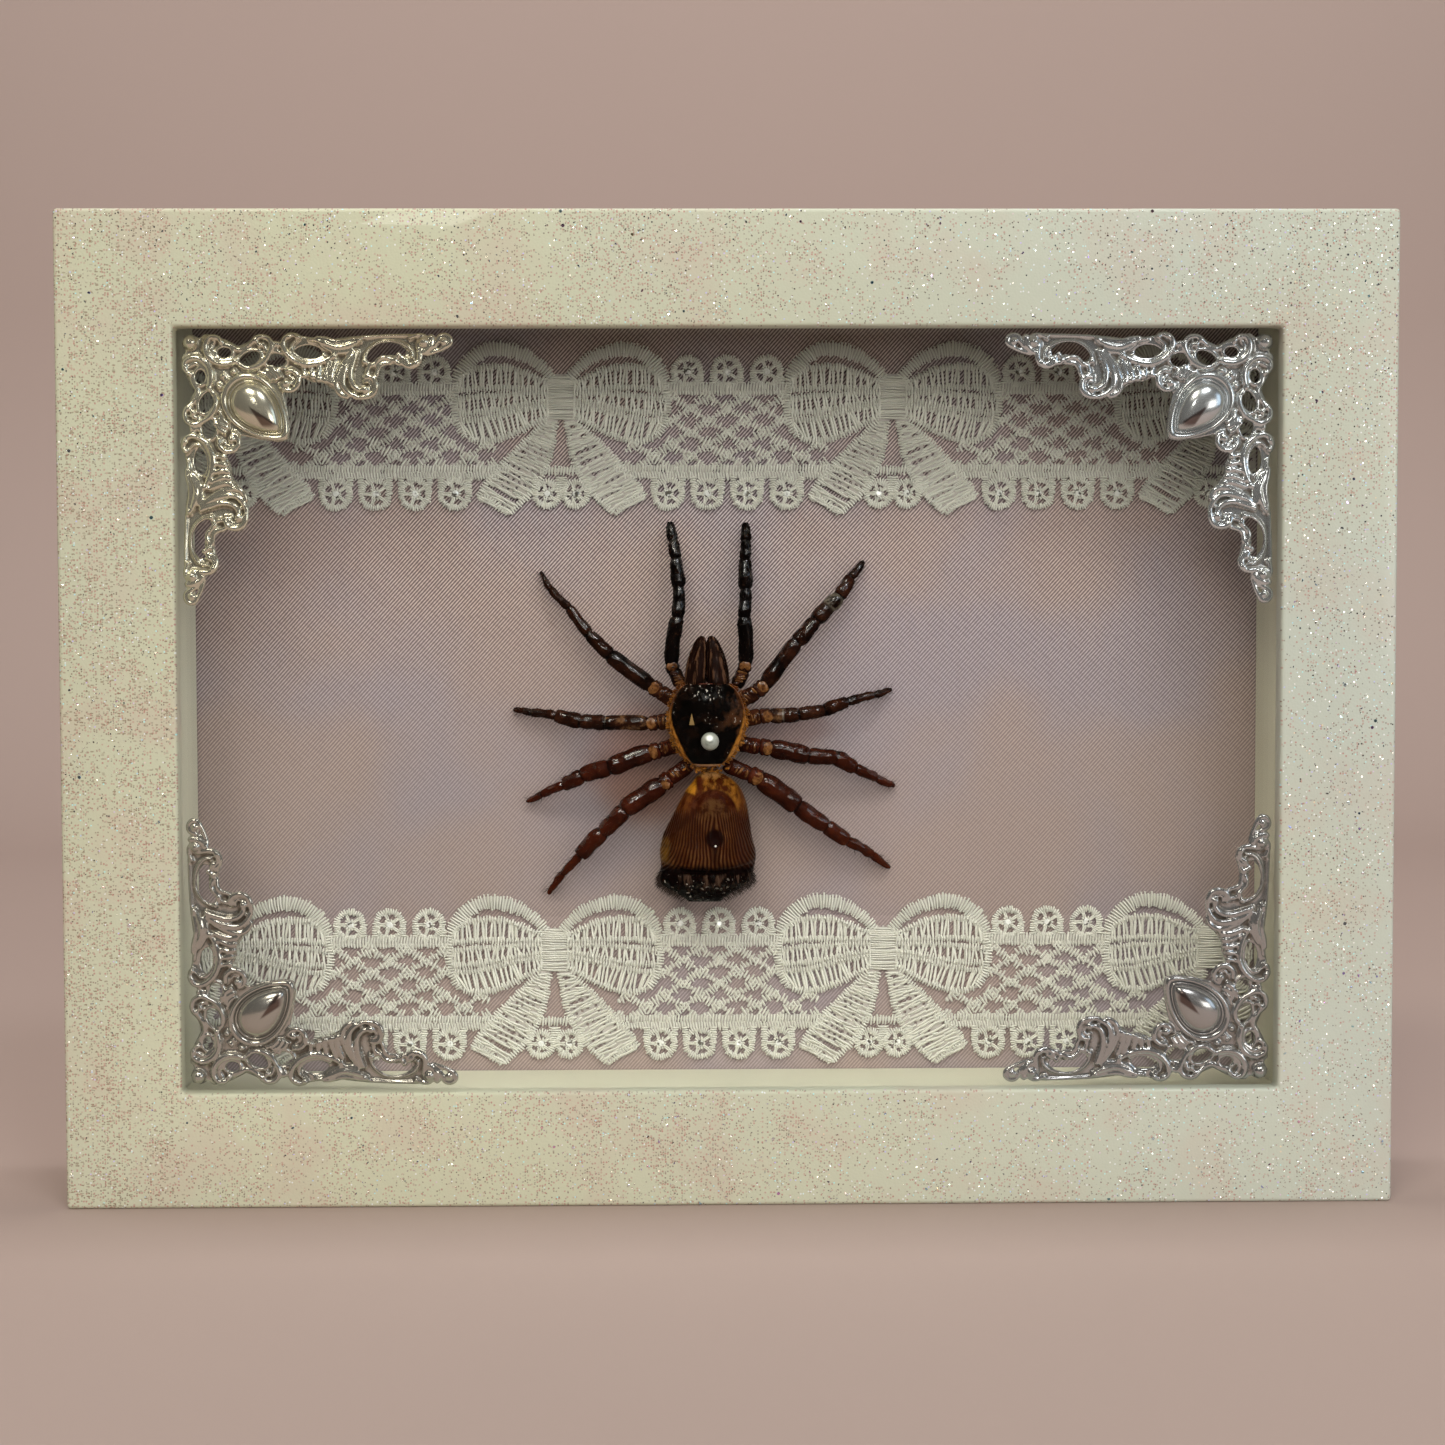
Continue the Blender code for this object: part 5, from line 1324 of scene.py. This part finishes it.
# Fullest radius of each step: coxa, trochanter, femur, patella, tibia, metatarsus, tarsus
girths = {
    "palp_left": (1.1, 1.15, 1.24, 1.12, 1.2, 1.0, 0.92),
    "palp_right": (1.1, 1.15, 1.24, 1.12, 1.2, 1.0, 0.92),
    "leg_left_1": (1.3, 1.3, 1.36, 1.2, 0.98, 0.74, 0.55),
    "leg_left_2": (1.3, 1.25, 1.22, 1.3, 1.32, 0.8, 0.62),
    "leg_left_3": (1.3, 1.4, 1.6, 1.48, 1.28, 0.76, 0.63),
    "leg_left_4": (1.3, 1.45, 1.68, 1.48, 1.46, 0.75, 0.64),
    "leg_right_1": (1.3, 1.3, 1.34, 1.32, 1.38, 1.18, 0.74),
    "leg_right_2": (1.3, 1.25, 1.22, 1.17, 1.15, 0.78, 0.62),
    "leg_right_3": (1.3, 1.4, 1.55, 1.4, 1.38, 0.92, 0.74),
    "leg_right_4": (1.3, 1.45, 1.72, 1.52, 1.38, 0.92, 0.72),
}
# Share of a step's length, and share of its fullest radius there
swell = ((0.0, 0.76), (0.04, 0.86), (0.09, 0.94), (0.16, 0.99), (0.24, 1.02), (0.33, 1.02), (0.42, 0.99),
         (0.51, 0.97), (0.6, 0.98), (0.69, 1.0), (0.78, 1.01), (0.86, 0.99), (0.93, 0.94), (0.97, 0.87))


def tube(bm, rows, sides, layers):    # rows of centre, radius and values, a ring at each, closed at both ends
    ring, before = None, None
    for index, (centre, radius, values) in enumerate(rows):
        forward = (rows[min(len(rows) - 1, index + 1)][0] - rows[max(0, index - 1)][0]).normalized()
        if ring is None:
            verts = bmesh.ops.create_circle(bm, cap_ends=True, segments=sides, radius=radius,
                                            matrix=Matrix.Translation(centre)
                                            @ forward.to_track_quat("Z", "X").to_matrix().to_4x4())["verts"]
            ring = list({edge for vert in verts for edge in vert.link_edges})
        else:
            verts, ring = grow(bm, ring)
            turn = before[2].rotation_difference(forward)
            for vert in verts:
                vert.co = centre + turn @ (vert.co - before[0]) * (radius / before[1])
        for vert in verts:
            for layer, value in zip(layers, values):
                vert[layer] = value
        before = (centre, radius, forward)
    bmesh.ops.holes_fill(bm, edges=ring)


def hair(root, tip, sag, middle):    # a closed bar, thinner at its middle and thinnest at its tip
    return [(at(spot.x, spot.z, spot.y), share)
            for spot, share in ((root, 1.0), ((root + tip) / 2 + sag, middle), (tip, 0.2))]


def limbRows(name, joints, dice):
    warm = -0.12 if name.startswith("palp") else {"1": 0.3, "2": 0.42, "3": 0.5, "4": 0.62}[name[-1]]
    rows = []
    for step, radius in enumerate(girths[name]):
        start, end = joints[step], joints[step + 1]
        side = (end - start).normalized().cross(Vector((0, 1, 0)))
        bend = dice.uniform(-0.03, 0.03) * (end - start).length
        for share, full in swell:
            thick = radius * full * (1 - 0.12 * share if step > 2 else 1.0)
            if step == 6:
                thick *= 1 - 0.35 * share ** 3
            ruddy = warm + (0.10 * (step + share - 2.5) if name[-1] in "34" else 0.0) \
                + (0.4 if step < 2 else 0.0)
            light = 0.0
            if name[-1] == "2" and step == 2:    # amber blotches
                light = 1.3 if name == "leg_left_2" or share < 0.5 else 0.0
            if name == "leg_right_1" and step == 4:    # its one pale band
                light = clamp((share - 0.5) / 0.1) * (0.9 if share < 0.9 else 0.4)
            rows.append((start.lerp(end, share) + side * bend * sin(pi * share), thick,
                         (ruddy - (0.7 if share < 0.03 else 0.0), light)))
    rows.append((joints[-1], girths[name][-1] * 0.42, (warm, 0.0)))
    return rows


def limbBody(name, hairs, dice):
    bm = bmesh.new()
    red, pale = bm.verts.layers.float.new("red"), bm.verts.layers.float.new("pale")
    joints = [Vector((x, depth, z)) for x, z, depth in limbs[name]]
    tube(bm, limbRows(name, joints, dice), 28, (red, pale))
    hip, girth, along = joints[2].lerp(joints[1], 0.25), girths[name][1], joints[3] - joints[1]
    lean = atan2(along.z, along.x)
    addBall(bm, hip + Vector((0, -0.86 * girth, 0)), (0.8, 0.2, 0.78 * girth), ((red, 0.6), (pale, 2.0)),
            lean, 3)
    bm.normal_update()
    for vert in bm.verts:
        vert.co += vert.normal * (0.12 * noise.noise(vert.co * 0.8) + 0.09 * noise.noise(vert.co * 2.2))
    for number in range(coat["folds"]):    # folds of skin round the coxa
        spot = joints[0].lerp(joints[2], 0.12 + 0.1 * number + dice.uniform(-0.02, 0.02))
        across = Vector((sin(lean), 0, -cos(lean))) * dice.uniform(-0.3, 0.3)
        addBall(bm, spot + across + Vector((0, -0.9 * girths[name][0], 0)),
                (dice.uniform(0.2, 0.32), 0.42, dice.uniform(0.6, 0.95)),
                ((red, 0.9), (pale, dice.choice((0.0, 1.5, 1.7, 2.0)))), lean + dice.uniform(-0.3, 0.3))
    for number in range(coat["hairs"]):    # fine hairs, leaning towards the tip
        share = dice.uniform(2.05, 6.95)
        step = int(share)
        start, end = joints[step], joints[step + 1]
        forward = (end - start).normalized()
        out = forward.orthogonal().normalized()
        out.rotate(Matrix.Rotation(dice.uniform(0, tau), 3, forward))
        root = start.lerp(end, share - step) + out * girths[name][step] * 0.86
        reach = (out * dice.uniform(0.5, 0.9) + forward * dice.uniform(0.5, 1.1)).normalized()
        tip = root + reach * dice.uniform(0.4, 0.85) * (1.25 if step > 4 else 1.0)
        hairs.append(hair(root, tip, forward * -0.08, 0.75))
    return settle(bm)


def legShell(name, dark, ruddy):
    shell = Finish(name, roughness=0.22, specularIorLevel=0.03, coatIor=1.7, coatRoughness=0.18)
    red, pale = shell.mark("red"), shell.mark("pale")
    mottle, fine = shell.clouds(330.0, 4.0, 0.62), shell.clouds(1700.0, 3.0)
    share = red * 0.9 + mottle * 1.6 - 0.85    # of the ruddy colour
    colour = shell.mix(share.most(0.0).least(1.0), dark, ruddy)
    colour = shell.mix(fine.step(0.55, 0.8) * mottle.step(0.4, 0.6) * 0.4, colour, (0.11, 0.042, 0.017))
    beige = shell.mix(fine.step(0.3, 0.7), (0.055, 0.016, 0.004), (0.19, 0.080, 0.025))
    colour = shell.mix(pale.least(1.0) * (mottle + abs(pale - 1.2) * 0.2).step(0.5, 0.62), colour,
                       shell.mix(pale.step(1.0, 1.4), (0.14, 0.12, 0.09), beige))
    lift = shell.add("SeparateXYZ", {}, {"Vector": shell.add("NewGeometry", out="Normal")}, out="Z")
    wet = shell.clouds(600.0, 3.0, 0.6).step(0.42, 0.54) * lift.step(0.05, 0.25) * lift.step(0.8, 0.62)
    shell.say(baseColor=colour, roughness=mottle * 0.3 + 0.06, coatWeight=wet)
    shell.bump(shell.clouds(750.0, 3.0, 0.55) * 0.9 + fine * 0.25, 0.00028, 0.8)
    return shell


blackLeg = legShell("blackLeg", (0.002, 0.001, 0.0007), (0.050, 0.013, 0.005))
redLeg = legShell("redLeg", (0.005, 0.0015, 0.001), (0.052, 0.009, 0.003))
dice, hairs = random.Random(23), []
for name in limbs:
    family = redLeg if name[-1] in "34" else blackLeg
    title = "".join(word.capitalize() for word in name.split("_"))
    piece(title[0].lower() + title[1:] + "Shell", limbBody(name, hairs, dice), family,
          (name,), smooth=60)
bristle = mottled("bristle", (200.0,), (0.004, 0.002, 0.0015), (0.03, 0.012, 0.006), roughness=0.6,
                  specularIorLevel=0.25)
piece("limbHairs", threads("limbHairs", hairs, coat["hairThick"] * mm), bristle, smooth=70)

fringe = []
for number in range(coat["bristles"]):    # round the rear edge and along the sides of the abdomen
    side = dice.choice((-1, 1))
    z = dice.triangular(-31.2, -25.5, -29.2)
    root = Vector((abdomenEdge(z, side) - side * 0.35, spider["abdomenDepth"] + dice.uniform(-3.6, 2.5), z))
    out = Vector((side * dice.uniform(0.35, 0.9), dice.uniform(-0.25, 0.1), dice.uniform(-0.95, -0.35)))
    fringe.append(hair(root, root + out.normalized() * dice.uniform(0.7, 1.45), Vector((0, 0, 0.05)), 0.8))
piece("abdomenBristles", threads("abdomenBristles", fringe, coat["bristleThick"] * mm), bristle,
      smooth=70)
print("spider")

# Pin and pearl

pearl = {"x": -3.1, "z": -5.2, "depth": 11.3, "radius": 1.45}
bm = bmesh.new()
bmesh.ops.create_uvsphere(bm, u_segments=48, v_segments=24, radius=pearl["radius"] * mm,
                          matrix=Matrix.Translation(at(pearl["x"], pearl["z"], pearl["depth"])))
nacre = Finish("pearlCoat", roughness=0.3, specularIorLevel=0.8, coatWeight=1.0, coatRoughness=0.08)
across, up = nacre.x * 1000 - pearl["x"], (nacre.z - middleZ) * 1000 - pearl["z"]    # from its middle
nacreAndPaintedLight = nacre.mix(nacre.clouds(900.0, 2.0), (0.25, 0.26, 0.22), (0.37, 0.37, 0.32))
# painted shade: a darker mottled patch below the middle
shade = (squared(across) * 1.4 + squared(up + 0.3) * 2.2).step(1.3, 0.2) \
    * nacre.clouds(1300.0, 2.0).step(0.3, 0.62)
nacreAndPaintedLight = nacre.mix(shade * 0.8, nacreAndPaintedLight, (0.09, 0.095, 0.08))
# painted highlight at the upper middle
nacreAndPaintedLight = nacre.mix((squared(across + 0.1) * 0.8 + squared(up - 0.6)).step(0.42, 0.04), nacreAndPaintedLight,
                   (0.92, 0.92, 0.86))
nacre.say(baseColor=nacreAndPaintedLight)
piece("pearlHead", bm, nacre, ("pin_head",), smooth=60)
setCoat("pin", steel)
